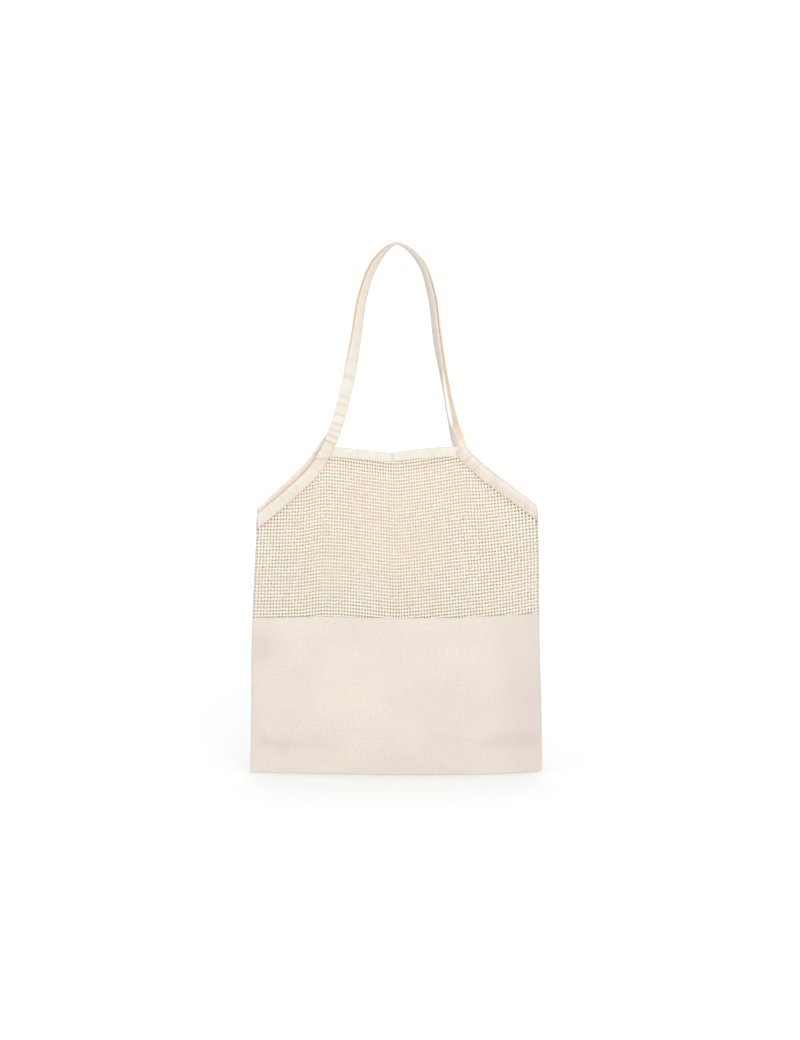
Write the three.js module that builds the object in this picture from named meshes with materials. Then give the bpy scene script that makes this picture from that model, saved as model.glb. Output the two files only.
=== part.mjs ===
// Produce bag: a cotton tote whose lower half is plain cloth and whose upper half is open net.
// Millimetres. +X is the right-hand side seen from the front, +Y runs from front to back, +Z is up.
// The origin is where the handles bear on the hook that the empty bag hangs from.
import * as THREE from 'three';

// Levels and widths of the bag
const BOTTOM_Z = -690;
const SEAM_Z = -481;
const MOUTH_Z = -262;
const HALF_WIDTH_BOTTOM = 190;
const HALF_WIDTH_ARMHOLE = 182;
const ARMHOLE_RISE = 350;

// How far the hanging walls stand apart
const BELLY = 11;
const BELLY_CLOSING = 60;
const BELLY_MOUTH_LOSS = 0.22;
const SIDE_HALF_DEPTH = 3;
const BOTTOM_HALF_DEPTH = 1.2;
const SIDE_CLOSING = 40;
const FLATNESS = 4;

// Cloth, tape and the spaces between sewn pieces
const CLOTH = 1.2;
const PLY = 1;
const SEWN_GAP = 0.3;
const GRIP_GAP = 0.4;
const TAPE_WIDTH = 15.5;
const BAND_WIDTH = 11;
const TUCK = 6;
const FOLD_ROUND = 0.8;
const FOLD_DEPTH = 2;
const HANDLE_GROOVE_WIDTH = 0.4;
const HANDLE_GROOVE_DEPTH = 0.8;
const SEAM_CLEARANCE = 2;
const END_BLEND = 34;

// Fineness of the faceted walls
const COLUMNS = 32;
const NET_ROWS = 13;
const TAPE_STEPS = 4;
const BAND_STEPS = 14;
const COLUMN_CROWDING = 0.25;
const EDGE_PASSES = 4;
const SLOPE_PROBE = 0.5;
const BAND_PROBE = 4;

// Heights above the bottom fold of the cloth's rows, on its outer and inner face
const CLOTH_ROWS = [
  { outer: 0, inner: 4 },
  { outer: 5, inner: 7 },
  { outer: 14, inner: 14 },
  { outer: 27, inner: 27 },
  { outer: 42, inner: 42 },
  { outer: 57, inner: 57 },
  { outer: 72, inner: 72 },
  { outer: 92, inner: 92 },
  { outer: 120, inner: 120 },
  { outer: 150, inner: 150 },
  { outer: 180, inner: 180 },
  { outer: 209, inner: 209 },
];

// Soft folds of the walls, each along a line, rising out of the bag or sinking into it
const FRONT_FOLDS = [
  { name: 'left tension ridge', x0: -104, z0: -300, x1: -142, z1: -440, spread: 17, rise: 3.2 },
  { name: 'right tension ridge', x0: 104, z0: -300, x1: 146, z1: -450, spread: 18, rise: 2.6 },
  { name: 'right side gather', x0: 158, z0: -370, x1: 164, z1: -470, spread: 12, rise: -2 },
  { name: 'middle crease', x0: -8, z0: -300, x1: -8, z1: -470, spread: 14, rise: -1.6 },
  { name: 'upper cloth swell', x0: -50, z0: -500, x1: -30, z1: -560, spread: 48, rise: 2.4 },
  { name: 'lower left dent', x0: -176, z0: -628, x1: -150, z1: -652, spread: 15, rise: -2.2 },
  { name: 'lower left dent foot', x0: -150, z0: -652, x1: -88, z1: -650, spread: 14, rise: -1.6 },
  { name: 'lower right dent', x0: 122, z0: -648, x1: 176, z1: -646, spread: 14, rise: -2.4 },
  { name: 'right cloth crease', x0: 141, z0: -512, x1: 142, z1: -576, spread: 13, rise: 1.5 },
];
const BACK_FOLDS = [
  { name: 'left tension ridge', x0: -108, z0: -300, x1: -136, z1: -430, spread: 18, rise: 2.6 },
  { name: 'right tension ridge', x0: 106, z0: -300, x1: 140, z1: -440, spread: 18, rise: 2.8 },
  { name: 'middle crease', x0: 2, z0: -310, x1: 2, z1: -470, spread: 14, rise: -1.6 },
  { name: 'cloth swell', x0: 30, z0: -510, x1: 50, z1: -580, spread: 46, rise: 2.2 },
  { name: 'lower dent', x0: -90, z0: -648, x1: 60, z1: -652, spread: 16, rise: -2 },
];
const FOLD_FADE_START = 26;
const FOLD_FADE_TOP = 66;
const FOLD_FADE_FLOOR = 4;
const FOLD_FADE_BOTTOM = 36;
const FOLD_FADE_SIDE = 8;

// Finished upper edges of the two walls, from the left side seam to the right one
const FRONT_EDGE = [
  { at: 'left seam', x: -182, z: -347 },
  { at: 'left armhole low', x: -140, z: -314.5 },
  { at: 'left armhole high', x: -112, z: -287 },
  { at: 'left corner', x: -97, z: -262 },
  { at: 'band left end', x: -78, z: -262.5 },
  { at: 'band left half', x: -32, z: -267.5 },
  { at: 'band middle', x: -6, z: -270 },
  { at: 'band right half', x: 30, z: -265 },
  { at: 'band right end', x: 75, z: -261.5 },
  { at: 'right corner', x: 93, z: -262.5 },
  { at: 'right armhole high', x: 114, z: -284.5 },
  { at: 'right armhole low', x: 150, z: -313.5 },
  { at: 'right seam', x: 182, z: -338 },
];
const BACK_EDGE = [
  { at: 'left seam', x: -182, z: -345 },
  { at: 'left armhole low', x: -146, z: -309.5 },
  { at: 'left armhole high', x: -116, z: -280 },
  { at: 'left corner', x: -101, z: -259 },
  { at: 'band left end', x: -80, z: -262.5 },
  { at: 'band left half', x: -34, z: -274 },
  { at: 'band middle', x: -2, z: -279 },
  { at: 'band right half', x: 32, z: -273 },
  { at: 'band right end', x: 76, z: -262 },
  { at: 'right corner', x: 94, z: -260 },
  { at: 'right armhole high', x: 115, z: -281 },
  { at: 'right armhole low', x: 150, z: -311 },
  { at: 'right seam', x: 182, z: -338 },
];

// Where the top bands end against the tapes, and the slant of their ends
const FRONT_BAND = { left: -82, leftSlant: 0.45, right: 77, rightSlant: 0.5 };
const BACK_BAND = { left: -85.6, leftSlant: 0.5, right: 78.6, rightSlant: 0.5 };

// Centre lines of the two tapes. Bound rows lie on the wall; the others are the free handle.
// turn: 90 shows the tape's flat to the front, 0 shows its edge.
const FRONT_TAPE = [
  { at: 'left seam', bound: true, x: -180, y: 0, z: -358, turn: 90 },
  { at: 'left armhole low', bound: true, x: -134.9, y: 0, z: -320.4, turn: 90 },
  { at: 'left armhole high', bound: true, x: -106, y: 0, z: -292, turn: 90 },
  { at: 'left corner', bound: true, x: -90.3, y: 0, z: -266, turn: 90 },
  { at: 'left foot', bound: false, x: -83.5, y: -10.2, z: -246, turn: 88 },
  { at: 'left low', bound: false, x: -65.5, y: -8, z: -188, turn: 78 },
  { at: 'left mid', bound: false, x: -53, y: -5.5, z: -126, turn: 52 },
  { at: 'left high', bound: false, x: -42.5, y: -3, z: -64, turn: 42 },
  { at: 'left shoulder', bound: false, x: -25.5, y: -1.4, z: -22, turn: 34 },
  { at: 'apex', bound: false, x: 1, y: 0, z: 1.2, turn: 2 },
  { at: 'right shoulder', bound: false, x: 30, y: -1.4, z: -22, turn: 22 },
  { at: 'right high', bound: false, x: 44.5, y: -3, z: -64, turn: 28 },
  { at: 'right mid', bound: false, x: 52.6, y: -5.5, z: -126, turn: 30 },
  { at: 'right low', bound: false, x: 62.3, y: -8, z: -188, turn: 6 },
  { at: 'right foot', bound: false, x: 69.5, y: -9.8, z: -230, turn: 12 },
  { at: 'right base', bound: false, x: 80, y: -10.2, z: -255, turn: 86 },
  { at: 'right corner', bound: true, x: 86.5, y: 0, z: -267, turn: 90 },
  { at: 'right armhole high', bound: true, x: 108.8, y: 0, z: -290.3, turn: 90 },
  { at: 'right armhole low', bound: true, x: 145.2, y: 0, z: -319.6, turn: 90 },
  { at: 'right seam', bound: true, x: 180, y: 0, z: -346.3, turn: 90 },
];
const BACK_TAPE = [
  { at: 'left seam', bound: true, x: -180, y: 0, z: -356, turn: 90 },
  { at: 'left armhole low', bound: true, x: -140.6, y: 0, z: -315.1, turn: 90 },
  { at: 'left armhole high', bound: true, x: -110, y: 0, z: -284.8, turn: 90 },
  { at: 'left corner', bound: true, x: -94.4, y: 0, z: -263, turn: 90 },
  { at: 'left foot', bound: false, x: -87, y: 10.4, z: -246, turn: 88 },
  { at: 'left low', bound: false, x: -69.5, y: 9, z: -188, turn: 78 },
  { at: 'left mid', bound: false, x: -57, y: 6.5, z: -126, turn: 52 },
  { at: 'left high', bound: false, x: -46.3, y: 3.6, z: -62, turn: 42 },
  { at: 'left shoulder', bound: false, x: -29, y: 1.6, z: -19, turn: 34 },
  { at: 'apex', bound: false, x: 1, y: 0, z: 4.9, turn: 2 },
  { at: 'right shoulder', bound: false, x: 33.5, y: 1.6, z: -19, turn: 22 },
  { at: 'right high', bound: false, x: 48.3, y: 3.6, z: -62, turn: 27 },
  { at: 'right mid', bound: false, x: 57.5, y: 6.5, z: -126, turn: 27 },
  { at: 'right low', bound: false, x: 68.5, y: 9, z: -188, turn: 24 },
  { at: 'right foot', bound: false, x: 77.5, y: 10.2, z: -230, turn: 36 },
  { at: 'right base', bound: false, x: 83.3, y: 10.3, z: -252, turn: 84 },
  { at: 'right corner', bound: true, x: 88, y: 0, z: -264.5, turn: 90 },
  { at: 'right armhole high', bound: true, x: 109.6, y: 0, z: -286.8, turn: 90 },
  { at: 'right armhole low', bound: true, x: 145.2, y: 0, z: -317.1, turn: 90 },
  { at: 'right seam', bound: true, x: 180, y: 0, z: -346.3, turn: 90 },
];

// The two walls: side is -1 for the front and +1 for the back
const FRONT = { side: -1, folds: FRONT_FOLDS, edge: FRONT_EDGE, band: FRONT_BAND };
const BACK = { side: 1, folds: BACK_FOLDS, edge: BACK_EDGE, band: BACK_BAND };

const lerp = THREE.MathUtils.lerp;
const smoothstep = THREE.MathUtils.smoothstep;

function halfWidth(z) {
  return lerp(HALF_WIDTH_BOTTOM, HALF_WIDTH_ARMHOLE, (z - BOTTOM_Z) / ARMHOLE_RISE);
}

function edgeHeight(panel, x) {
  const rows = panel.edge;
  let i = 1;
  while (i < rows.length - 1 && rows[i].x < x) i += 1;
  const share = THREE.MathUtils.clamp((x - rows[i - 1].x) / (rows[i].x - rows[i - 1].x), 0, 1);
  return lerp(rows[i - 1].z, rows[i].z, share);
}

// Sum of the folds at a place, fading out towards the bound edge, the bottom and the side seams
function foldRise(panel, x, z) {
  let rise = 0;
  for (const fold of panel.folds) {
    const line = new THREE.Vector2(fold.x1 - fold.x0, fold.z1 - fold.z0);
    const from = new THREE.Vector2(x - fold.x0, z - fold.z0);
    const share = THREE.MathUtils.clamp(from.dot(line) / line.lengthSq(), 0, 1);
    const away = from.sub(line.multiplyScalar(share)).length() / fold.spread;
    rise += fold.rise * Math.exp(-away * away);
  }
  const sideways = Math.min(Math.abs(x) / halfWidth(z), 1);
  const fadeTop = smoothstep(edgeHeight(panel, x) - z, FOLD_FADE_START, FOLD_FADE_TOP);
  const fadeBottom = smoothstep(z - BOTTOM_Z, FOLD_FADE_FLOOR, FOLD_FADE_BOTTOM);
  return rise * fadeTop * fadeBottom * (1 - sideways ** FOLD_FADE_SIDE);
}

// Distance of a wall's outer face from the middle plane of the bag
function wallDepth(panel, x, z) {
  const rise = z - BOTTOM_Z;
  const full = MOUTH_Z - BOTTOM_Z;
  const sideways = Math.min(Math.abs(x) / halfWidth(z), 1);
  const closing = 1 - Math.exp(-rise / BELLY_CLOSING);
  const belly = BELLY * closing * (1 - BELLY_MOUTH_LOSS * (rise / full) ** 2);
  const sideClosing = 1 - Math.exp(-rise / SIDE_CLOSING);
  const sideDepth = lerp(BOTTOM_HALF_DEPTH, SIDE_HALF_DEPTH, sideClosing);
  return sideDepth + belly * (1 - sideways ** FLATNESS) + foldRise(panel, x, z);
}

function onWall(panel, x, z, inset) {
  return new THREE.Vector3(x, panel.side * (wallDepth(panel, x, z) - inset), z);
}

// Unit vector across a wall that always points from front to back
function acrossWall(panel, x, z) {
  const middle = CLOTH / 2;
  const right = onWall(panel, x + SLOPE_PROBE, z, middle);
  const left = onWall(panel, x - SLOPE_PROBE, z, middle);
  const above = onWall(panel, x, z + SLOPE_PROBE, middle);
  const below = onWall(panel, x, z - SLOPE_PROBE, middle);
  return above.sub(below).cross(right.sub(left)).normalize();
}

// Positions across the bag from -1 to 1, closer together towards the side seams
function columnPlaces() {
  const places = [];
  for (let i = 0; i <= COLUMNS; i += 1) {
    const even = (2 * i) / COLUMNS - 1;
    places.push(even * (1 + COLUMN_CROWDING * (1 - even * even)));
  }
  return places;
}

// Closed geometry from points and triangles, turned to face outwards
function closedGeometry(points, triangles) {
  let sixVolumes = 0;
  for (const [a, b, c] of triangles) {
    sixVolumes += points[a].dot(points[b].clone().cross(points[c]));
  }
  const index = [];
  for (const [a, b, c] of triangles) {
    if (sixVolumes > 0) index.push(a, b, c);
    else index.push(a, c, b);
  }
  const geometry = new THREE.BufferGeometry().setFromPoints(points);
  geometry.setIndex(index);
  geometry.computeVertexNormals();
  return geometry;
}

// Triangles of a grid of point numbers, row by row
function gridTriangles(grid, flipped) {
  const triangles = [];
  for (let r = 1; r < grid.length; r += 1) {
    for (let c = 1; c < grid[r].length; c += 1) {
      const [a, b, d, e] = [grid[r - 1][c - 1], grid[r - 1][c], grid[r][c], grid[r][c - 1]];
      if (flipped) triangles.push([a, d, b], [a, e, d]);
      else triangles.push([a, b, d], [a, d, e]);
    }
  }
  return triangles;
}

function numberGrid(points, rows) {
  return rows.map((row) => row.map((point) => points.push(point) - 1));
}

// A sheet of cloth between two grids of points, closed along its four edges
function sheetGeometry(outerRows, innerRows) {
  const points = [];
  const outer = numberGrid(points, outerRows);
  const inner = numberGrid(points, innerRows);
  const last = outer.length - 1;
  const left = (grid) => grid.map((row) => row[0]);
  const right = (grid) => grid.map((row) => row[row.length - 1]);
  return closedGeometry(points, [
    ...gridTriangles(outer, false),
    ...gridTriangles(inner, true),
    ...gridTriangles([outer[0], inner[0]], true),
    ...gridTriangles([outer[last], inner[last]], false),
    ...gridTriangles([left(outer), left(inner)], false),
    ...gridTriangles([right(outer), right(inner)], true),
  ]);
}

// A pouch between two stacks of rings, open at the last ring and closed at the first
function pouchGeometry(outerRings, innerRings) {
  const points = [];
  const close = (ring) => [...ring, ring[0]];
  const outer = numberGrid(points, outerRings);
  const inner = numberGrid(points, innerRings);
  const last = outer.length - 1;
  const floor = (ring, numbers, flipped) => {
    const flat = ring.map((point) => new THREE.Vector2(point.x, point.y));
    const faces = THREE.ShapeUtils.triangulateShape(flat, []);
    const turned = THREE.ShapeUtils.isClockWise(flat) !== flipped;
    return faces.map(([a, b, c]) => {
      const face = turned ? [a, b, c] : [a, c, b];
      return face.map((n) => numbers[n]);
    });
  };
  return closedGeometry(points, [
    ...gridTriangles(outer.map(close), false),
    ...gridTriangles(inner.map(close), true),
    ...gridTriangles([close(outer[last]), close(inner[last])], false),
    ...floor(outerRings[0], outer[0], false),
    ...floor(innerRings[0], inner[0], true),
  ]);
}

// A bar between a row of like sections, closed at both ends
function barGeometry(sections, profile) {
  const points = [];
  const rings = numberGrid(points, sections);
  const flat = profile.map(([a, b]) => new THREE.Vector2(a, b));
  const faces = THREE.ShapeUtils.triangulateShape(flat, []);
  const turned = THREE.ShapeUtils.isClockWise(flat);
  const close = (ring) => [...ring, ring[0]];
  const end = (ring, flipped) => faces.map(([a, b, c]) => {
    const face = flipped !== turned ? [a, b, c] : [a, c, b];
    return face.map((n) => ring[n]);
  });
  return closedGeometry(points, [
    ...gridTriangles(rings.map(close), false),
    ...end(rings[0], false),
    ...end(rings[rings.length - 1], true),
  ]);
}

function clothRing(height, inset) {
  const z = BOTTOM_Z + height;
  const places = columnPlaces();
  const half = halfWidth(z) - inset;
  const front = places.map((place) => onWall(FRONT, place * half, z, inset));
  const back = places.reverse().map((place) => onWall(BACK, place * half, z, inset));
  return [...front, ...back];
}

function lowerBodyGeometry() {
  const outer = CLOTH_ROWS.map((row) => clothRing(row.outer, 0));
  const inner = CLOTH_ROWS.map((row) => clothRing(row.inner, CLOTH));
  return pouchGeometry(outer, inner);
}

// Level of the net's own cut edge, which is tucked into the tape
function netTop(panel, place) {
  let z = MOUTH_Z;
  for (let pass = 0; pass < EDGE_PASSES; pass += 1) {
    z = edgeHeight(panel, place * halfWidth(z)) - TUCK;
  }
  return z;
}

// One row of the net's outer or inner face, with its side allowances turned in to the seam
function netRow(panel, share, inset) {
  const row = [];
  for (const place of columnPlaces()) {
    const z = lerp(SEAM_Z + SEWN_GAP, netTop(panel, place), share);
    row.push(onWall(panel, place * (halfWidth(z) - inset), z, inset));
  }
  const turnIn = (point) => new THREE.Vector3(point.x, (panel.side * SEWN_GAP) / 2, point.z);
  return [turnIn(row[0]), ...row, turnIn(row[row.length - 1])];
}

function netGeometry(panel) {
  const outer = [];
  const inner = [];
  for (let i = 0; i <= NET_ROWS; i += 1) {
    outer.push(netRow(panel, i / NET_ROWS, 0));
    inner.push(netRow(panel, i / NET_ROWS, CLOTH));
  }
  return sheetGeometry(outer, inner);
}

// Folded tape seen on its end: across runs from the fold to the open edge, through is its thickness
function tapeProfile(width, thick, slotWidth, slotDepth) {
  const half = thick / 2;
  const lip = slotWidth / 2;
  return [
    [width, -half],
    [FOLD_ROUND, -half],
    [0, FOLD_ROUND - half],
    [0, half - FOLD_ROUND],
    [FOLD_ROUND, half],
    [width, half],
    [width, lip],
    [width - slotDepth, lip],
    [width - slotDepth, -lip],
    [width, -lip],
  ];
}

const GRIP_SLOT = CLOTH + 2 * GRIP_GAP;
const GRIP_THICK = GRIP_SLOT + 2 * PLY;
const HANDLE_THICK = HANDLE_GROOVE_WIDTH + 2 * PLY;

// Frame of a tape at one place: out is away from the net, through is across its thickness
function placeSection(profile, width, centre, along, across, turn, slide) {
  const out = along.clone().cross(across).normalize();
  const depth = out.clone().cross(along).normalize();
  const angle = THREE.MathUtils.degToRad(turn);
  const [cos, sin] = [Math.cos(angle), Math.sin(angle)];
  const through = out.clone().multiplyScalar(cos).addScaledVector(depth, sin);
  const toOpen = depth.clone().multiplyScalar(cos).addScaledVector(out, -sin);
  return profile.map(([a, b]) => {
    const point = centre.clone().addScaledVector(toOpen, a - width / 2).addScaledVector(through, b);
    return point.addScaledVector(along, slide(a - width / 2, along, toOpen));
  });
}

function strapGeometry(panel, rows) {
  const middle = (row) => (row.bound ? onWall(panel, row.x, row.z, CLOTH / 2).y : row.y);
  const centres = rows.map((row) => new THREE.Vector3(row.x, middle(row), row.z));
  const curve = new THREE.CatmullRomCurve3(centres, false, 'centripetal');
  const steps = (rows.length - 1) * TAPE_STEPS;
  const frontToBack = new THREE.Vector3(0, 1, 0);
  const sections = [];
  let profile = [];
  for (let i = 0; i <= steps; i += 1) {
    const r = Math.min(Math.floor(i / TAPE_STEPS), rows.length - 2);
    const share = i / TAPE_STEPS - r;
    const [from, to] = [rows[r], rows[r + 1]];
    const grip = lerp(Number(from.bound), Number(to.bound), share);
    const centre = curve.getPoint(i / steps);
    if (from.bound && to.bound) centre.y = onWall(panel, centre.x, centre.z, CLOTH / 2).y;
    const across = frontToBack.clone().lerp(acrossWall(panel, centre.x, centre.z), grip).normalize();
    profile = tapeProfile(
      TAPE_WIDTH,
      lerp(HANDLE_THICK, GRIP_THICK, grip),
      lerp(HANDLE_GROOVE_WIDTH, GRIP_SLOT, grip),
      lerp(HANDLE_GROOVE_DEPTH, TAPE_WIDTH - FOLD_DEPTH, grip),
    );
    const toSeam = halfWidth(centre.z) - SEAM_CLEARANCE - Math.abs(centre.x);
    const mitre = Math.max(0, 1 - toSeam / END_BLEND);
    const slide = (a, along, toOpen) => (-mitre * a * toOpen.x) / along.x;
    const along = curve.getTangent(i / steps);
    const turn = lerp(from.turn, to.turn, share);
    sections.push(placeSection(profile, TAPE_WIDTH, centre, along, across, turn, slide));
  }
  return barGeometry(sections, profile);
}

function bandGeometry(panel) {
  const { left, leftSlant, right, rightSlant } = panel.band;
  const profile = tapeProfile(BAND_WIDTH, GRIP_THICK, GRIP_SLOT, BAND_WIDTH - FOLD_DEPTH);
  const place = (x) => onWall(panel, x, edgeHeight(panel, x) - BAND_WIDTH / 2, CLOTH / 2);
  const sections = [];
  for (let i = 0; i <= BAND_STEPS; i += 1) {
    const x = lerp(left, right, i / BAND_STEPS);
    const centre = place(x);
    const along = place(x + BAND_PROBE).sub(place(x - BAND_PROBE)).normalize();
    const slant = i === 0 ? -leftSlant : Number(i === BAND_STEPS) * rightSlant;
    const across = acrossWall(panel, centre.x, centre.z);
    sections.push(placeSection(profile, BAND_WIDTH, centre, along, across, 90, (a) => slant * a));
  }
  return barGeometry(sections, profile);
}

const CLOTH_COLOUR = '#ece2d4';
const NET_COLOUR = '#e6dac6';
const TAPE_COLOUR = '#efe8da';

function piece(name, geometry, colour) {
  const material = new THREE.MeshStandardMaterial({ color: colour, roughness: 0.9, metalness: 0 });
  const mesh = new THREE.Mesh(geometry, material);
  mesh.name = name;
  return mesh;
}

const bag = new THREE.Group();
bag.name = 'produce_bag';
bag.add(piece('lower_body', lowerBodyGeometry(), CLOTH_COLOUR));
bag.add(piece('net_front', netGeometry(FRONT), NET_COLOUR));
bag.add(piece('net_back', netGeometry(BACK), NET_COLOUR));
bag.add(piece('top_band_front', bandGeometry(FRONT), TAPE_COLOUR));
bag.add(piece('top_band_back', bandGeometry(BACK), TAPE_COLOUR));
bag.add(piece('strap_front', strapGeometry(FRONT, FRONT_TAPE), TAPE_COLOUR));
bag.add(piece('strap_back', strapGeometry(BACK, BACK_TAPE), TAPE_COLOUR));

export default bag;
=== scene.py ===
"""Reusable produce bag: its cloth, nets, tapes, stitches and studio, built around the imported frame."""
import math
from collections import Counter

import bpy
import numpy as np
from bpy.props import FloatProperty, FloatVectorProperty, IntProperty, PointerProperty
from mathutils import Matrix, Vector


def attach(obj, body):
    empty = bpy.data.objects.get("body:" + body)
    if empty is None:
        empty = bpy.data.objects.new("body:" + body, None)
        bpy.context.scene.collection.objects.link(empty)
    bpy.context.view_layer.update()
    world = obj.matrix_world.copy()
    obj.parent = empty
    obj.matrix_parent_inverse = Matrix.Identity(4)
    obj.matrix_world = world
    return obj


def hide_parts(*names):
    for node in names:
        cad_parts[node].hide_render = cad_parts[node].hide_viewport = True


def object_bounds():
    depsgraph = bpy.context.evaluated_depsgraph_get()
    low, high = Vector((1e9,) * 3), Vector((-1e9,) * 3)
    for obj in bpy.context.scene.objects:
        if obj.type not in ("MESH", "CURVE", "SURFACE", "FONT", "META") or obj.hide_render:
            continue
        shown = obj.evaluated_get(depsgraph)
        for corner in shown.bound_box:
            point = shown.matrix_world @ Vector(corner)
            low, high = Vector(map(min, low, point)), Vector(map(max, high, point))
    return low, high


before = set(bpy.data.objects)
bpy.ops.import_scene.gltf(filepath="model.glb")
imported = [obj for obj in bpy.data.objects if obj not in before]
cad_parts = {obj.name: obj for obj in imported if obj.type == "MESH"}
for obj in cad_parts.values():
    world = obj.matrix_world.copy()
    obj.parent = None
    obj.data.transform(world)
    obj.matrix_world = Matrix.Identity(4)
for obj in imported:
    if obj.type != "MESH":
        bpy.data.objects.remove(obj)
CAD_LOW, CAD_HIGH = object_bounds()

bl_info = {
    "name": "Produce bag",
    "version": (1, 0, 0),
    "blender": (4, 5, 0),
    "location": "View3D > Sidebar > Produce bag",
    "description": "Builds a hanging cotton produce bag with a net upper half",
    "category": "Object",
}

# Shapes are worked out in millimetres and become metres when a mesh is made
MM = 0.001

# The map on the cloth and tapes that the weave follows
WEAVE_UV = "weave"

# Levels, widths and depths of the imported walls
BOTTOM_Z = -690.0
MOUTH_Z = -262.0
HALF_WIDTH_BOTTOM = 190.0
HALF_WIDTH_ARMHOLE = 182.0
ARMHOLE_RISE = 350.0
BELLY = 11.0
BELLY_CLOSING = 60.0
BELLY_MOUTH_LOSS = 0.22
SIDE_HALF_DEPTH = 3.0
BOTTOM_HALF_DEPTH = 1.2
SIDE_CLOSING = 40.0
FLATNESS = 4
WALL_MIDDLE = 0.6
FOLD_FADE_TOP = (26.0, 66.0)
FOLD_FADE_BOTTOM = (4.0, 36.0)
FOLD_FADE_SIDE = 8

# Fine creases fade closer to the bound edges than the large folds do
CREASE_FADE_TOP = (16.0, 34.0)
CREASE_FADE_BOTTOM = (3.0, 14.0)
CREASE_FADE_SIDE = 30

# The side seams are pinched, and open towards the tapes
PINCHED_HALF_DEPTH = 1.1
PINCH_REACH = 7.0
PINCH_OPENS = (-430.0, -372.0)
LEAST_HALF_DEPTH = 1.0

# Side lines of the hanging bag: level, left half width, right half width
SIDE_LINES = np.array([
    (-690.0, 189.8, 189.4),
    (-667.0, 189.6, 189.8),
    (-604.0, 188.6, 188.8),
    (-542.0, 188.4, 187.0),
    (-480.0, 186.8, 185.6),
    (-433.0, 184.6, 186.0),
    (-370.0, 181.6, 184.0),
    (-342.0, 180.6, 182.4),
    (-262.0, 180.0, 180.4),
])

# Lower fold and upper seam of the cloth: place across, level
BOTTOM_LINE = np.array([
    (-191.0, -687.0), (-150.0, -687.4), (-60.0, -689.0), (0.0, -689.9), (60.0, -690.0),
    (120.0, -689.0), (165.0, -687.4), (183.0, -686.4), (191.0, -683.6),
])
SEAM_LINE = np.array([
    (-190.0, -484.2), (-95.0, -481.6), (-6.0, -483.8), (82.0, -483.2), (132.0, -480.6), (190.0, -478.4),
])
SEAM_MIDDLE = -482.5

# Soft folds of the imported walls: x0, z0, x1, z1, spread, rise out of the bag
FRONT_FOLDS = [
    (-104, -300, -142, -440, 17, 3.2),
    (104, -300, 146, -450, 18, 2.6),
    (158, -370, 164, -470, 12, -2.0),
    (-8, -300, -8, -470, 14, -1.6),
    (-50, -500, -30, -560, 48, 2.4),
    (-176, -628, -150, -652, 15, -2.2),
    (-150, -652, -88, -650, 14, -1.6),
    (122, -648, 176, -646, 14, -2.4),
    (141, -512, 142, -576, 13, 1.5),
]
BACK_FOLDS = [
    (-108, -300, -136, -430, 18, 2.6),
    (106, -300, 140, -440, 18, 2.8),
    (2, -310, 2, -470, 14, -1.6),
    (30, -510, 50, -580, 46, 2.2),
    (-90, -648, 60, -652, 16, -2.0),
]

# Narrow creases: x0, z0, x1, z1, spread, rise out of the bag
FRONT_CREASES = [
    (-8, -285, -8, -478, 3.4, -0.9),
    (-92, -284, -139, -462, 4.6, 1.7),
    (96, -286, 140, -458, 5.5, 1.1),
    (172, -352, 172, -478, 4.5, -1.1),
    (-185, -628, -174, -645, 5.5, -1.2),
    (-174, -645, -151, -654, 5.5, -1.3),
    (-151, -654, -86, -652, 6.5, -1.0),
    (122, -650, 186, -647, 5.5, -1.4),
    (44, -646, 96, -646, 6.0, -0.7),
    (164, -579, 187, -573, 3.4, 0.7),
    (166, -595, 187, -591, 3.2, -0.7),
    (161, -620, 187, -612, 3.4, 0.8),
    (168, -637, 188, -634, 3.2, -0.65),
    (174, -492, 184, -500, 3.0, -0.5),
    (168, -513, 185, -508, 3.0, 0.4),
    (142, -513, 138, -578, 4.0, 0.7),
    (-5, -494, -8, -669, 4.5, -0.35),
    (-187, -556, -170, -552, 3.4, 0.55),
    (-187, -575, -168, -572, 3.4, -0.5),
    (-138, -513, -125, -550, 7.0, 0.3),
    (-86, -591, -66, -643, 6.0, 0.3),
    (77, -539, 96, -513, 6.0, -0.3),
    (96, -598, 70, -637, 6.0, 0.3),
]
BACK_CREASES = [
    (2, -292, 2, -478, 3.6, -0.8),
    (-96, -286, -134, -452, 6.5, 0.8),
    (96, -286, 138, -456, 7.0, 0.7),
    (2, -496, 4, -664, 4.5, -0.35),
    (-184, -610, -160, -622, 4.0, -0.5),
    (-168, -652, -96, -650, 6.0, -0.6),
    (64, -651, 150, -654, 6.0, -0.5),
    (-187, -540, -168, -545, 3.2, 0.4),
    (166, -566, 187, -560, 3.2, -0.4),
    (164, -606, 187, -612, 3.2, 0.45),
    (-120, -520, -104, -566, 6.5, 0.3),
    (88, -590, 72, -640, 6.0, -0.3),
]

# Fall of a crease that has the full painted crease shade, and how much wider its painted shade is than its
# fold
CLOTH_FULL_CREASE = 4.0
CREASE_TONE_SPREAD = 2.0

# Broad patches of painted shade on the cloth: x, z, half width, half height, share
FRONT_SHADE_PATCHES = [
    (176, -585, 46, 125, 0.75), (-172, -522, 24, 26, 0.65), (20, -508, 75, 16, 0.25), (40, -605, 60, 34, 0.2),
]
BACK_SHADE_PATCHES = [(-170, -560, 40, 80, 0.4), (150, -640, 60, 40, 0.3)]

# Small waves that soften the flat cloth: how many, shortest and longest, slope, and the seed of each wall
CRUMPLES = 40
CRUMPLE_LENGTHS = (13.0, 120.0)
CRUMPLE_SLOPE = 0.011
FRONT_SEED = 11
BACK_SEED = 23

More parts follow.
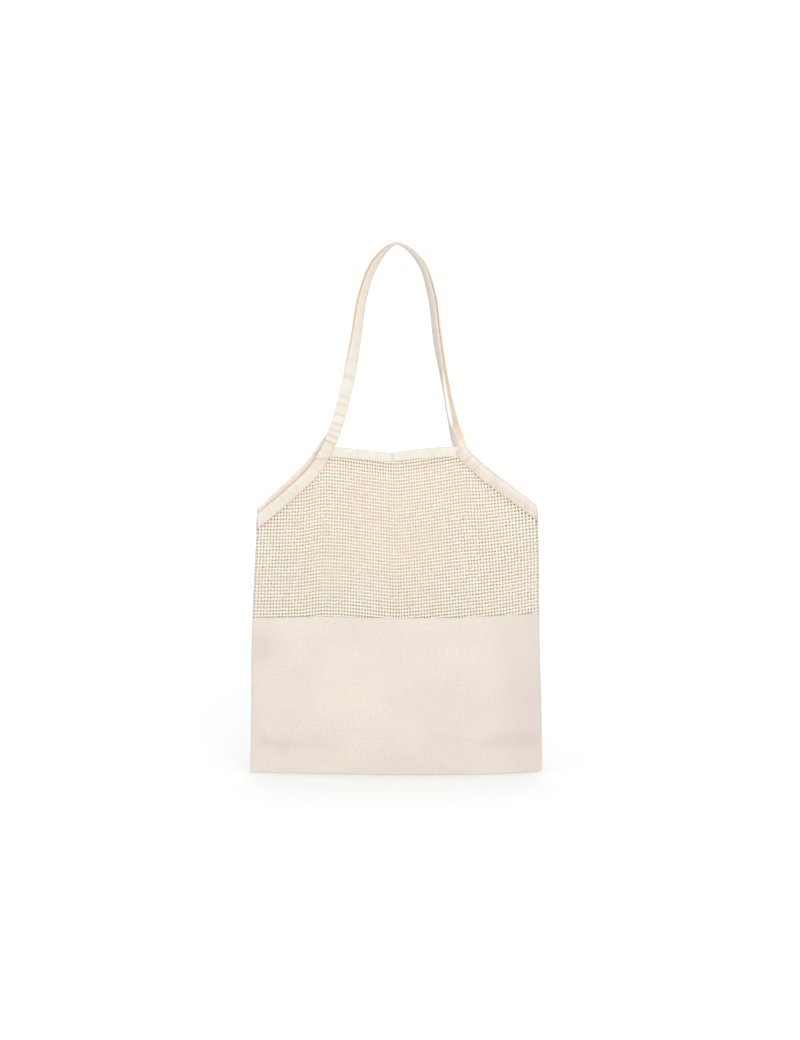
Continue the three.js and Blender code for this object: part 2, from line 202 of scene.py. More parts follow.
# Finished upper edges of the two walls: place across, level
FRONT_EDGE = [
    (-182, -347), (-140, -314.5), (-112, -287), (-97, -261.5), (-78, -261.6), (-32, -266.6), (-6, -269.6),
    (30, -264.1), (75, -260.5), (92, -263), (113, -285.2), (150, -313.3), (182, -337),
]
BACK_EDGE = [
    (-182, -342), (-146, -309), (-116, -280), (-101, -259), (-80, -262.5), (-34, -274), (-2, -279),
    (32, -273), (76, -262), (91.5, -262), (112.9, -282.8), (150, -312), (182, -337),
]

# Centre lines of the tapes: bound to the wall or free, x, y, z, turn (90 shows the flat, 0 the edge)
FRONT_TAPE = [
    (1, -180, 0, -358, 90), (1, -134.9, 0, -320.4, 90), (1, -106, 0, -292, 90), (1, -90.3, 0, -266, 90),
    (0, -81.2, -10.2, -246, 88), (0, -64.5, -8, -188, 78), (0, -52.0, -5.5, -126, 47),
    (0, -41.6, -3, -64, 34), (0, -24.7, -1.4, -22, 27), (0, 1, 0, 0.9, 0), (0, 30, -1.4, -22, 22),
    (0, 44.5, -3, -64, 28), (0, 52.6, -5.5, -126, 30), (0, 61.8, -8, -188, 5), (0, 68.9, -9.8, -230, 3),
    (0, 78.6, -10.2, -255, 52), (1, 85.4, 0, -268, 90), (1, 107.8, 0, -291, 90),
    (1, 145.2, 0, -319.4, 90), (1, 182.4, 0, -346.4, 90),
]
BACK_TAPE = [
    (1, -180.5, 0, -353, 90), (1, -140.6, 0, -314.8, 90), (1, -110, 0, -284.8, 90), (1, -94.4, 0, -263, 90),
    (0, -82.2, 10.4, -246, 88), (0, -65.2, 9, -188, 78), (0, -54.2, 6.5, -126, 52),
    (0, -44.2, 3.6, -63, 42), (0, -27.2, 1.6, -20.6, 34), (0, 1, 0, 2.3, 0), (0, 31.7, 1.6, -20.6, 22),
    (0, 48.0, 3.6, -62, 24), (0, 57.5, 6.5, -126, 18), (0, 68.5, 9, -188, 14), (0, 77.5, 10.2, -230, 24),
    (0, 81.6, 10.3, -253, 78), (1, 85.6, 0, -266.3, 90), (1, 107.6, 0, -288.6, 90),
    (1, 145.2, 0, -318.2, 90), (1, 182.4, 0, -346.4, 90),
]
FLAT_TURN = 90.0
LEFT_CORNER_ROW = 3
RIGHT_CORNER_ROW = 16

# Cross pleats of the tapes: row along the tape, half length of the pleat in millimetres, rise, skew
FRONT_PLEATS = [
    (1.25, 1.6, 0.2, 0.0), (1.9, 1.4, 0.25, 0.3), (2.35, 1.3, -0.25, 0.5), (2.72, 1.2, 0.22, 0.45),
    (2.92, 1.2, -0.2, 0.3), (3.12, 1.2, 0.22, 0.15), (3.34, 1.2, -0.2, 0.0), (3.74, 1.8, 0.4, 0.0),
    (3.92, 1.9, -0.48, 0.0), (4.02, 1.9, 0.3, 0.0), (4.12, 1.9, -0.42, 0.0), (4.2, 2.0, 0.3, 0.0),
    (4.28, 2.0, -0.42, 0.0), (4.38, 2.2, 0.3, 0.0), (4.49, 2.2, -0.36, 0.0), (4.59, 2.2, 0.25, 0.0),
    (4.69, 2.2, -0.34, 0.0), (4.77, 2.2, 0.2, 0.0), (4.85, 2.2, -0.3, 0.0), (5.08, 2.6, 0.2, 0.0),
    (5.26, 2.8, -0.25, 0.0), (5.62, 2.8, -0.2, 0.0),
    (15.5, 1.3, 0.3, 0.2), (15.8, 1.1, -0.3, 0.2), (16.2, 1.2, 0.4, 0.1), (16.42, 1.1, -0.45, 0.0),
    (16.64, 1.1, 0.4, 0.0), (16.86, 1.2, -0.35, 0.0), (17.1, 1.3, 0.3, 0.0), (17.5, 1.6, -0.2, 0.0),
    (18.2, 1.8, 0.2, 0.0),
]
BACK_PLEATS = [
    (1.4, 1.6, 0.3, 0.0), (2.2, 1.4, 0.35, 0.2), (2.75, 1.3, 0.3, 0.3), (3.2, 1.3, -0.25, 0.0),
    (3.8, 1.9, 0.3, 0.0), (4.1, 1.9, -0.3, 0.0), (4.3, 1.9, 0.3, 0.0), (15.6, 1.4, 0.4, 0.2),
    (16.35, 1.3, 0.45, 0.0), (16.7, 1.3, -0.3, 0.0), (17.2, 1.5, 0.35, 0.0), (18.2, 1.7, 0.25, 0.0),
]

# Raised turn of the tape at the left corner: first row and its skew, last row and its skew, rise
FRONT_TURN = ((2.56, 0.58), (3.54, 0.0), 0.55)
BACK_TURN = ((2.6, 0.5), (3.5, 0.0), 0.5)
TURN_EDGE = 0.55
# Width of the painted shade lines at both ends of the turn
TURN_LINE = 1.5

# Small pleats that the stitches draw up: rise, its share on the free handles, and the range of the rest
SMALL_PLEAT = 0.24
HANDLE_PLEAT_SHARE = 0.55
PLEAT_REACHES = (1.0, 2.0)
PLEAT_SKEWS = (-0.3, 0.5)
PLEAT_STEPS = (3.0, 6.5)

# Painted shade on the tapes: fall of a pleat with the full crease shade, the places across and along in
# painted shade and its strength on each stretch, how much painted warm bounce light the bound stretches lose,
# and how much crease shade the inner faces lose
FULL_CREASE = 0.7
LOWER_HALF = (0.1, 0.65)
STRAP_SHADE = 0.26
RIGHT_SHADE = 0.2
RIGHT_PLACES = (6.0, 30.0)
BAND_SHADE = 0.12
BOUND_BOUNCE_LOSS = 0.5
INNER_CREASE_LOSS = 0.65

# Folded tapes: widths, room and plies, mitred ends, fineness, crown, corners, and places round a section
TAPE_WIDTH = 15.5
BAND_WIDTH = 13.2
BOUND_GAP = 1.3
HANDLE_GAP = 0.15
HANDLE_PLY_SHARE = 0.72
CORNER_GAP = 1.3
CORNER_REACH = 0.45
BAND_GAP = 1.1
BAND_PLY = 0.5
END_BLEND = 34.0
SECTION_STEP = 0.95
LINE_SAMPLES = 5000
TURN_SMOOTHING = 19
GAP_GRIPS = (0.0, 0.7)
FULL_GRIPS = (0.0, 0.9)
BOUND_CROWN = 0.75
HANDLE_CROWN = 0.3
BAND_CROWN = 0.45
CORNER_DROP = 0.85
CORNER_DROP_PLACES = (0.45, 1.0)
FACE_PLACES = (1.0, 0.8, 0.6, 0.42, 0.26)
INNER_PLACES = (1.0, 0.6, 0.28)
FOLD_ANGLES = (-90, -60, -30, 0, 30, 60, 90)
INNER_ANGLES = (60, 0, -60)
LIP = 0.12

# Ends of the top bands under the tapes, with the slant of each end, and the pinch at the middle
FRONT_BAND = (-86.0, 0.45, 81.5, 0.5, -6.0)
BACK_BAND = (-89.6, 0.5, 82.6, 0.5, 2.0)
BAND_NARROWING = 2.0
BAND_NARROW_REACH = 36.0
BAND_GRIP = 0.6
BAND_CROWN_PLACES = (0.04, 0.16)

# Each end of a band slants over one part in so many of its length
BAND_ENDS = 6

# Creases at the pinch of a band: steps along from its middle and rise, then their half length and skew
BAND_CREASES = ((1.0, -0.35), (-2.0, 0.35))
BAND_CREASE_REACH = 1.8
BAND_CREASE_SKEW = 0.1

# Fineness of the cloth and how its hem lies over the net
CLOTH_STEP = 2.4
FOLD_RISE = 3.0
FOLD_TURNS = (24, 46, 68, 90)
SHELL_LEAST_DEPTH = 0.15
SEAM_OVERHANG = 0.5
SEAM_OVERHANG_INSIDE = 0.1
HEM_ROUND = 0.25
NET_UNDER_HEM = 8.7
NET_TUCK = 1.8
NET_LEAST_DEPTH = 0.15
NET_SINK = 0.85
NET_SINK_LEVELS = (-1.0, 4.0)

# How the rows of the net tilt: place across, rise at the seam, rise at the tapes
ROW_RISE = np.array([
    (-190.0, 2.4, 3.0), (-148.0, 2.4, 2.9), (-122.0, 2.9, 3.4), (-96.0, 5.9, 9.1), (-70.0, 5.8, 7.8),
    (-44.0, 4.2, 4.4), (-18.0, 1.6, 1.8), (-1.0, 0.0, 0.0), (8.0, 0.7, 0.8), (34.0, 3.0, 4.3),
    (60.0, 6.1, 8.5), (86.0, 8.6, 13.0), (112.0, 10.3, 11.4), (138.0, 12.6, 13.0), (164.0, 16.0, 15.1),
    (190.0, 19.2, 17.0),
])
ROW_LEVELS = (-470.0, -310.0)
ROW_SOFTNESS = 5.0
ROW_ROOM = 22.0

# How far a column has gone to the left where it meets the tapes: x, shift
COLUMN_SHIFT = np.array([
    (-190.0, 0.0), (-150.0, -1.5), (-100.0, 0.0), (-50.0, 1.0), (0.0, 2.5), (50.0, 6.0), (100.0, 6.5),
    (140.0, 5.5), (190.0, 0.0),
])
SHIFT_LEVEL = 150.0
NET_WIDENING = 0.044
# Painted warm bounce light inside the bag: how far a face looks inward and how far the walls stand apart;
# then painted shade under the tapes: how far the slanting tapes cover, and where it fades below them
NET_FACING = (0.0, 0.6)
NET_INNER_DEPTHS = (0.0, 1.5)
SLANT_COVER = 20.0
UNDER_TAPE = (2.0, 12.0)

# The holes draw together towards the side seams: places from and to, share lost
DRAWN_PLACES = (50.0, 120.0)
DRAWN_SHARE = 0.11

# Level and distance of the eye, for the rows of the back net that show in the holes of the front one
EYE_LEVEL = -217.0
EYE_DISTANCE = 3200.0

# Corners and middles of the sides of one cell of the net, in half pitches up and across
CELL_RING = ((0, 0), (0, 1), (0, 2), (1, 2), (2, 2), (2, 1), (2, 0), (1, 0))
MERGE_DISTANCE = 2e-6

# Shape of one stitch: sides, rings, height against its width, and how much the stitches differ
STITCH_SIDES = 8
STITCH_RINGS = 5
STITCH_HEIGHT = 0.8
STITCH_UNEVENNESS = 0.12

# Finish of the fibres: roughness and sheen of each material, then what they share
COTTON_FINISH = (0.93, 0.12)
NET_FINISH = (0.95, 0.1)
THREAD_FINISH = (0.8, 0.15)
PAPER_FINISH = (0.95, 0.0)
FIBRE_SPECULAR = 0.2
SHEEN_ROUGHNESS = 0.6
NOISE_ROUGHNESS = 0.55
NOISE_MIDDLE = 0.5

# Uneven tones: how often they change along each axis, per metre, and their detail
COTTON_ACROSS = ((34.0, 900.0, 1.0), 3.0)
COTTON_UPWARD = ((820.0, 30.0, 1.0), 3.0)
COTTON_PATCHES = ((10.0, 10.0, 14.0), 2.0)
COTTON_SPECKS = ((260.0, 300.0, 1.0), 4.0)
NET_FIBRES = ((2600.0, 2600.0, 2600.0), 3.0)
NET_PATCHES = ((16.0, 16.0, 22.0), 2.0)
NET_UNEVEN = ((300.0, 300.0, 260.0), 2.0)
THREAD_UNEVEN = ((900.0, 900.0, 900.0), 2.0)
PAPER_GRAIN = ((3.0, 3.0, 3.0), 2.0)

# Weights of those tones, and how much deeper the painted warm bounce light on the inner faces and the paper
# go
CLOTH_STREAK = 0.75
TAPE_STREAK = 0.8
UPWARD_STREAK = 0.8
PATCH_WEIGHT = 0.9
SPECK_WEIGHT = 1.5
FIBRE_WEIGHT = 0.7
UNEVEN_WEIGHT = 0.8
THREAD_WEIGHT = 1.4
INNER_DEEP = 0.9
PAPER_DEEP = 0.985

# Fine relief: weights in the cotton and the cords, then strength and height in metres of each bump
WEAVE_RISE = 0.55
ACROSS_RISE = 0.7
UPWARD_RISE = 0.6
CORD_RISE = 0.5
COTTON_BUMP = (0.4, 0.00016)
NET_BUMP = (0.35, 0.00012)
THREAD_BUMP = (0.3, 0.00005)

# Wave textures: radians in a unit, twist of the cords and threads, then distortion, detail and its scale
WAVE_RADIANS = 20.0
CORD_TWIST = 420.0
THREAD_TWIST = 900.0
WEAVE_WAVE = (0.6, 1.0, 0.4)
CORD_WAVE = (3.0, 2.0, 1.5)
EVEN_WAVE = (0.0, 2.0, 1.0)

# The net pressed through the cloth at its hem: place below the edge and fading in metres, and its weight
HEM_MARK_PLACE = 0.0045
HEM_MARK_FADE = (0.004, 0.0075)
HEM_MARK_RISE = 0.9

# Light in the cords: reach of each colour, depth in metres, and its share, which grows beside the side seams
CORD_LIGHT_REACH = (1.0, 0.6, 0.4)
CORD_LIGHT_DEPTH = 0.002
CORD_LIGHT_SHARE = 0.6
SEAM_LIGHT_GAIN = 0.2

# Tone of the cords: change beside the side seams, sharpness of the painted shade at the rims of the holes,
# and the share of the rim tone left as painted shade under a tape
SEAM_TONE_CHANGE = -0.15
RIM_SHARPNESS = 2.4
UNDER_TAPE_SHADE = 0.5

# Camera target in metres and sensor in millimetres, then the size, place and target of each light in metres
CAMERA_TARGET = (0.005, 0.0, -0.3567)
SENSOR_WIDTH = 36.0
KEY_LIGHT = (1.2, (0.25, -3.05, -0.05), (0.0, 0.0, -0.42))
BACK_LIGHT = (2.4, (0.0, 2.2, 2.0), (0.0, 2.4, -0.69))

# Studio paper: half width, front edge, start, radius and height of its sweep, and how finely it is made
PAPER_HALF_WIDTH = 6000.0
PAPER_FRONT = -6000.0
SWEEP_START = 2600.0
SWEEP_RADIUS = 1400.0
SWEEP_HEIGHT = 5000.0
PAPER_ROWS = 24
SWEEP_ROWS = 13
PAPER_COLUMNS = 25


def smoothstep(x, levels):
    low, high = levels
    t = np.clip((x - low) / (high - low), 0.0, 1.0)
    return t * t * (3.0 - 2.0 * t)


def between(low, high, share):
    return low + (high - low) * share


def swell(away, reach):
    """A soft hump: 1 in the middle, fading on both sides."""
    return np.exp(-(away / reach) ** 2)


def at_place(x, table, column=1):
    """Value of a table's column at x; its first column holds the places."""
    return np.interp(x, table[:, 0], table[:, column])


def run_lengths(points):
    """Distance along a line of points, from the first one."""
    steps = np.linalg.norm(np.diff(points, axis=0), axis=1)
    return np.concatenate([[0.0], np.cumsum(steps)])


def smoothed(values, **padding):
    """Running mean in a soft window; padding says how the values go on past the ends."""
    window = np.hanning(TURN_SMOOTHING + 2)[1:-1]
    padded = np.pad(values, TURN_SMOOTHING // 2, **padding)
    return np.convolve(padded, window / window.sum(), mode="valid")


def turned(degrees):
    """Cosine and sine of an angle in degrees."""
    return math.cos(math.radians(degrees)), math.sin(math.radians(degrees))


def unit(vectors):
    return vectors / np.linalg.norm(vectors, axis=-1, keepdims=True)


def paired(x, z):
    """Places across and levels as number arrays of one shape."""
    return np.broadcast_arrays(np.asarray(x, float), np.asarray(z, float))


def ridges(x, z, rows):
    """Sum of soft ridges, each along a straight line."""
    total = np.zeros_like(x)
    for x0, z0, x1, z1, spread, rise in rows:
        dx, dz = x1 - x0, z1 - z0
        t = np.clip(((x - x0) * dx + (z - z0) * dz) / (dx * dx + dz * dz), 0.0, 1.0)
        away = ((x - x0 - t * dx) ** 2 + (z - z0 - t * dz) ** 2) / spread ** 2
        total += rise * np.exp(-away)
    return total


def crumple_waves(seed):
    """Directions, lengths and phases of the small waves that soften a flat cloth."""
    draw = np.random.RandomState(seed)
    shortest, longest = CRUMPLE_LENGTHS
    length = shortest * (longest / shortest) ** draw.rand(CRUMPLES)
    angle = draw.rand(CRUMPLES) * math.pi
    phase = draw.rand(CRUMPLES) * 2 * math.pi
    number = 2 * math.pi / length
    return np.stack([number * np.cos(angle), number * np.sin(angle), phase, CRUMPLE_SLOPE / number], 1)


def half_width(z):
    return between(HALF_WIDTH_BOTTOM, HALF_WIDTH_ARMHOLE, (z - BOTTOM_Z) / ARMHOLE_RISE)


def side_line(left, z):
    """Half width of the hanging bag at a level, on its left or right side."""
    return np.where(left, at_place(z, SIDE_LINES), at_place(z, SIDE_LINES, 2))


class Wall:
    """One hanging wall of the bag, in millimetres; side is -1 for the front and 1 for the back."""

    def __init__(self, side, edge, folds, creases, shade_patches, seed):
        self.side = side
        self.edge = np.array(edge, float)
        self.folds = folds
        self.creases = creases
        self.shade_patches = shade_patches
        self.waves = crumple_waves(seed)

    def edge_height(self, x):
        return at_place(x, self.edge)

    def relief(self, x, z, sideways):
        below = self.edge_height(x) - z
        above = z - BOTTOM_Z
        fade = smoothstep(below, FOLD_FADE_TOP) * smoothstep(above, FOLD_FADE_BOTTOM)
        rise = ridges(x, z, self.folds) * fade * (1 - sideways ** FOLD_FADE_SIDE)
        fine = ridges(x, z, self.creases)
        for across, up, phase, height in self.waves:
            fine += height * np.sin(across * x + up * z + phase)
        fade = smoothstep(below, CREASE_FADE_TOP) * smoothstep(above, CREASE_FADE_BOTTOM)
        return rise + fine * fade * (1 - sideways ** CREASE_FADE_SIDE)

    def painted_shade(self, x, z):
        """How much painted shade a place takes, in a crease or a broad patch, from 0 to 1."""
        sunk = [(*row[:4], CREASE_TONE_SPREAD * row[4], row[5]) for row in self.creases if row[5] < 0]
        deep = -ridges(x, z, sunk) / CLOTH_FULL_CREASE
        for x0, z0, wide, high, share in self.shade_patches:
            deep = deep + share * swell(x - x0, wide) * swell(z - z0, high)
        return np.clip(deep, 0, 1)

    def depth(self, x, z):
        """Distance of the wall's outer face from the middle plane."""
        x, z = paired(x, z)
        rise = z - BOTTOM_Z
        sideways = np.minimum(np.abs(x) / half_width(z), 1.0)
        loss = 1 - BELLY_MOUTH_LOSS * (rise / (MOUTH_Z - BOTTOM_Z)) ** 2
        belly = BELLY * (1 - np.exp(-rise / BELLY_CLOSING)) * loss
        side = between(BOTTOM_HALF_DEPTH, SIDE_HALF_DEPTH, 1 - np.exp(-rise / SIDE_CLOSING))
        opened = between(PINCHED_HALF_DEPTH, SIDE_HALF_DEPTH, smoothstep(z, PINCH_OPENS))
        inward = np.maximum(side_line(x < 0, z) - np.abs(x), 0.0)
        pinch = (SIDE_HALF_DEPTH - opened) * np.exp(-inward / PINCH_REACH)
        full = side + belly * (1 - sideways ** FLATNESS) + self.relief(x, z, sideways)
        return np.maximum(full - pinch, LEAST_HALF_DEPTH)

    def point(self, x, z, inset):
        x, z = paired(x, z)
        return np.stack([x, self.side * (self.depth(x, z) - inset), z], -1)

    def across(self, x, z):
        """Unit vector across the wall, always from front to back."""
        probe = 0.5
        up = self.point(x, z + probe, 0.0) - self.point(x, z - probe, 0.0)
        right = self.point(x + probe, z, 0.0) - self.point(x - probe, z, 0.0)
        return unit(np.cross(up, right))


FRONT = Wall(-1, FRONT_EDGE, FRONT_FOLDS, FRONT_CREASES, FRONT_SHADE_PATCHES, FRONT_SEED)
BACK = Wall(1, BACK_EDGE, BACK_FOLDS, BACK_CREASES, BACK_SHADE_PATCHES, BACK_SEED)


def smooth_line(points, u):
    """Points on a smooth line through all the rows, with no loops; u counts the rows from 0."""
    ends = np.vstack([2 * points[0] - points[1], points, 2 * points[-1] - points[-2]])
    i = np.clip(np.floor(u).astype(int), 0, len(points) - 2)
    w = (u - i)[:, None]
    p0, p1, p2, p3 = (ends[i + k] for k in range(4))
    d0, d1, d2 = (np.sqrt(np.linalg.norm(b - a, axis=1))[:, None] for a, b in ((p0, p1), (p1, p2), (p2, p3)))
    t1 = ((p1 - p0) / d0 - (p2 - p0) / (d0 + d1) + (p2 - p1) / d1) * d1
    t2 = ((p2 - p1) / d1 - (p3 - p1) / (d1 + d2) + (p3 - p2) / d2) * d1
    return p1 + t1 * w + (3 * (p2 - p1) - 2 * t1 - t2) * w ** 2 + (2 * (p1 - p2) + t1 + t2) * w ** 3


class Tape:
    """A folded tape: sections along a centre line, with two plies that open into a slot."""

    def __init__(self, width, ply):
        self.width = width
        self.ply = ply

    def profile(self):
        """Places across the fold, and for each whether it lies on the outer or inner face."""
        inner = self.gap / 2
        outer = inner + self.ply
        w = self.width
        rows = [(w * f, -outer) for f in FACE_PLACES]
        rows += [(outer * (1 - cos), outer * sin) for cos, sin in map(turned, FOLD_ANGLES)]
        rows += [(w * f, outer) for f in reversed(FACE_PLACES)]
        rows += [(w + LIP, (outer + inner) / 2)]
        rows += [(w * f, inner) for f in INNER_PLACES]
        rows += [(outer - inner * cos, inner * sin) for cos, sin in map(turned, INNER_ANGLES)]
        rows += [(w * f, -inner) for f in reversed(INNER_PLACES)]
        rows += [(w + LIP, -(outer + inner) / 2)]
        count = len(self.centre)
        a, b = (np.stack([np.broadcast_to(row[k], count) for row in rows], 1) for k in (0, 1))
        outside = np.zeros(len(rows))
        outside[: 2 * len(FACE_PLACES) + len(FOLD_ANGLES)] = 1.0
        return a, b, outside

    def frames(self, across, turn):
        along = unit(np.gradient(self.centre, axis=0))
        out = unit(np.cross(along, across))
        depth = unit(np.cross(out, along))
        cos, sin = np.cos(np.radians(turn))[:, None], np.sin(np.radians(turn))[:, None]
        self.along = along
        self.through = cos * out + sin * depth
        self.to_open = cos * depth - sin * out

    def lengths(self):
        return run_lengths(self.centre)

    def widths(self):
        """Width of each section, as a column."""
        return np.broadcast_to(self.width, len(self.centre))[:, None]

    def place(self, a, b):
        """Points at distances across and through the tape, one row of them for each section."""
        middle = a - self.widths() / 2
        points = self.centre[:, None] + self.to_open[:, None] * middle[..., None]
        points = points + self.through[:, None] * b[..., None]
        return points + self.along[:, None] * (self.slide[:, None] * middle)[..., None]

    def past(self, a, place, skew):
        """Distance along the tape from a line that crosses it at a skew."""
        return self.lengths()[:, None] - place - skew * (a - self.widths() / 2)

    def relief(self, a):
        """How far the faces stand out of the plain fold: the crown of the tape and its pleats."""
        rise = self.crown[:, None] * np.sin(math.pi * np.clip(a / self.widths(), 0, 1))
        for place, reach, height, skew in self.pleats:
            rise = rise + height * swell(self.past(a, place, skew), reach)
        for *lines, height in self.turns:
            begun, ended = (np.tanh(self.past(a, *line) / TURN_EDGE) for line in lines)
            rise = rise + height * (begun - ended) / 2
        return rise

    def painted_shade_depth(self, a):
        """How much painted shade a place takes, from its creases, the lines of its turn, its lower half and
        the right strand, from 0 to 1.
        """
        depth = self.shade[:, None] * smoothstep(a / self.widths(), LOWER_HALF)
        for place, reach, height, skew in self.pleats:
            if height < 0:
                depth = depth - height / FULL_CREASE * swell(self.past(a, place, skew), reach)
        for *lines, _ in self.turns:
            for line in lines:
                depth = depth + swell(self.past(a, *line), TURN_LINE)
        return np.clip(depth, 0, 1)

    def sunk(self, a):
        """How far the open edge lies down flush with what it covers."""
        return self.drop[:, None] * smoothstep(a / self.widths(), CORNER_DROP_PLACES)

    def rings(self):
        a, b, outside = self.profile()
        self.inward = b
        self.painted_shade = self.painted_shade_depth(a) * outside
        return self.place(a, b + np.sign(b) * (outside * self.relief(a) - self.sunk(a)))

    def seam(self, from_edge, face):
        """Line of a row of stitches on one face, with the direction out of that face."""
        a = self.widths() - from_edge
        outer = np.broadcast_to(self.gap / 2 + self.ply, len(self.centre))[:, None]
        points = self.place(a, face * (outer + self.relief(a) - self.sunk(a)))[:, 0]
        return points, self.through * face


def small_pleats(along, grip, seed):
    """Faint pleats drawn up by the stitches, fewer and softer where a tape hangs free."""
    draw = np.random.RandomState(seed)
    pleats, place = [], 0.0
    while place < along[-1]:
        held = np.interp(place, along, grip)
        height = draw.uniform(-SMALL_PLEAT, SMALL_PLEAT) * between(HANDLE_PLEAT_SHARE, 1, held)
        reach = draw.uniform(*PLEAT_REACHES) * (2 - held)
        pleats.append((place, reach, height, draw.uniform(*PLEAT_SKEWS)))
        place += draw.uniform(*PLEAT_STEPS) * (2 - held)
    return pleats


def strap_tape(wall, rows, pleats, corner_turn, ply, seed):
    """The tape that binds both slanting edges of a wall and runs on as its handle."""
    rows = np.array(rows, float)
    bound = rows[:, 0]
    centres = rows[:, 1:4].copy()
    on_wall = wall.point(centres[:, 0], centres[:, 2], WALL_MIDDLE)
    centres[:, 1] = np.where(bound > 0, on_wall[:, 1], centres[:, 1])
    index = np.arange(len(rows))

    def line(u):
        points = smooth_line(centres, u)
        first = np.clip(np.floor(u).astype(int), 0, len(rows) - 2)
        held = bound[first] * bound[first + 1] > 0
        flat = wall.point(points[:, 0], points[:, 2], WALL_MIDDLE)
        points[:, 1] = np.where(held, flat[:, 1], points[:, 1])
        return points

    fine = np.linspace(0, len(rows) - 1, LINE_SAMPLES)
    length = run_lengths(line(fine))
    sections = int(length[-1] / SECTION_STEP)
    u = np.interp(np.linspace(0, length[-1], sections + 1), length, fine)
    grip = np.interp(u, index, bound)
    gripped = smoothstep(grip, FULL_GRIPS)
    tape = Tape(TAPE_WIDTH, ply * between(HANDLE_PLY_SHARE, 1, gripped))
    tape.centre = line(u)
    flat = wall.across(tape.centre[:, 0], tape.centre[:, 2])
    across = unit((1 - grip)[:, None] * np.array([0.0, 1.0, 0.0]) + grip[:, None] * flat)
    tape.frames(across, smoothed(np.interp(u, index, rows[:, 4]), mode="edge"))
    left_corner = swell(u - LEFT_CORNER_ROW, CORNER_REACH)
    corners = left_corner + swell(u - RIGHT_CORNER_ROW, CORNER_REACH)
    tape.gap = between(HANDLE_GAP, BOUND_GAP, smoothstep(grip, GAP_GRIPS)) + CORNER_GAP * corners
    to_seam = half_width(tape.centre[:, 2]) - np.abs(tape.centre[:, 0])
    mitre = np.maximum(0.0, 1 - to_seam / END_BLEND)
    tape.slide = -mitre * tape.to_open[:, 0] / tape.along[:, 0]
    tape.crown = between(HANDLE_CROWN, BOUND_CROWN, gripped)
    tape.drop = CORNER_DROP * left_corner
    along = tape.lengths()
    tape.pleats = [(np.interp(row, u, along), *rest) for row, *rest in pleats]
    tape.pleats += small_pleats(along, grip, seed)
    *lines, rise = corner_turn
    tape.turns = [(*[(np.interp(row, u, along), skew) for row, skew in lines], rise)]
    # Painted shade on the lower half of the bound stretches and across the front strap's right strand; the
    # bound stretches take less painted warm bounce light
    right = smoothstep(tape.centre[:, 0], RIGHT_PLACES) * (wall is FRONT)
    tape.shade = STRAP_SHADE * (grip + right * (1 - grip)) + RIGHT_SHADE * right
    tape.unfaded = 1 - BOUND_BOUNCE_LOSS * grip
    return tape


def band_tape(wall, band, seed):
    """The folded tape over the top edge of a wall, with its ends under the straps."""
    left, left_slant, right, right_slant, middle = band
    x = np.linspace(left, right, int((right - left) / SECTION_STEP) + 1)
    even = np.ones(len(x))
    tape = Tape(BAND_WIDTH - BAND_NARROWING * swell(x - middle, BAND_NARROW_REACH), BAND_PLY)
    tape.centre = wall.point(x, wall.edge_height(x) - BAND_WIDTH / 2, WALL_MIDDLE)
    level = smoothed(tape.centre[:, 2], mode="reflect", reflect_type="odd")
    tape.centre[:, 2] = level + (BAND_WIDTH - tape.width) / 2
    tape.frames(wall.across(tape.centre[:, 0], tape.centre[:, 2]), FLAT_TURN * even)
    tape.gap = BAND_GAP * even
    share = np.linspace(0, 1, len(x))
    at_left = np.clip(1 - share * BAND_ENDS, 0, 1)
    at_right = np.clip(share * BAND_ENDS - (BAND_ENDS - 1), 0, 1)
    tape.slide = -left_slant * at_left + right_slant * at_right
    tape.crown = BAND_CROWN * smoothstep(np.minimum(share, 1 - share), BAND_CROWN_PLACES)
    tape.drop = 0.0 * even
    crease = np.interp(middle, x, tape.lengths())
    tape.pleats = [(crease + step, BAND_CREASE_REACH, rise, BAND_CREASE_SKEW) for step, rise in BAND_CREASES]
    tape.pleats += small_pleats(tape.lengths(), BAND_GRIP * even, seed)
    tape.turns = []
    # Painted shade on the band's lower half, and half of the painted warm bounce light on its inner faces
    tape.shade = BAND_SHADE * even
    tape.unfaded = (1 - BOUND_BOUNCE_LOSS) * even
    return tape


def read(items, name, width=3, kind=float):
    """One property of all the items of a mesh, with a row of numbers for each item."""
    found = np.zeros(len(items) * width, kind)
    items.foreach_get(name, found)
    return found.reshape(-1, width)


def new_piece(name, points, faces, material=None, uv=None):
    """An object at the origin with a smooth closed mesh, its faces turned outwards."""
    points = np.asarray(points, float) * MM
    mesh = bpy.data.meshes.new(name)
    mesh.from_pydata(points.tolist(), [], faces)
    if uv is not None:
        layer = mesh.uv_layers.new(name=WEAVE_UV)
        corner = read(mesh.loops, "vertex_index", 1, np.int32)
        layer.data.foreach_set("uv", (np.asarray(uv, np.float32) * MM)[corner].ravel())
    mesh.polygons.foreach_set("use_smooth", np.ones(len(mesh.polygons), bool))
    if material is not None:
        mesh.materials.append(material)
    piece = bpy.data.objects.new(name, mesh)
    bpy.context.scene.collection.objects.link(piece)
    if signed_volume(mesh) < 0:
        mesh.flip_normals()
    return piece


def signed_volume(mesh):
    mesh.calc_loop_triangles()
    corners = read(mesh.loop_triangles, "vertices", kind=np.int32)
    a, b, c = read(mesh.vertices, "co")[corners].transpose(1, 0, 2)
    return float((a * np.cross(b, c)).sum())


def grid_faces(grid):
    """Quads of a grid of vertex numbers."""
    a, b, c, d = grid[:-1, :-1], grid[:-1, 1:], grid[1:, 1:], grid[1:, :-1]
    return np.stack([a, b, c, d], -1).reshape(-1, 4).tolist()


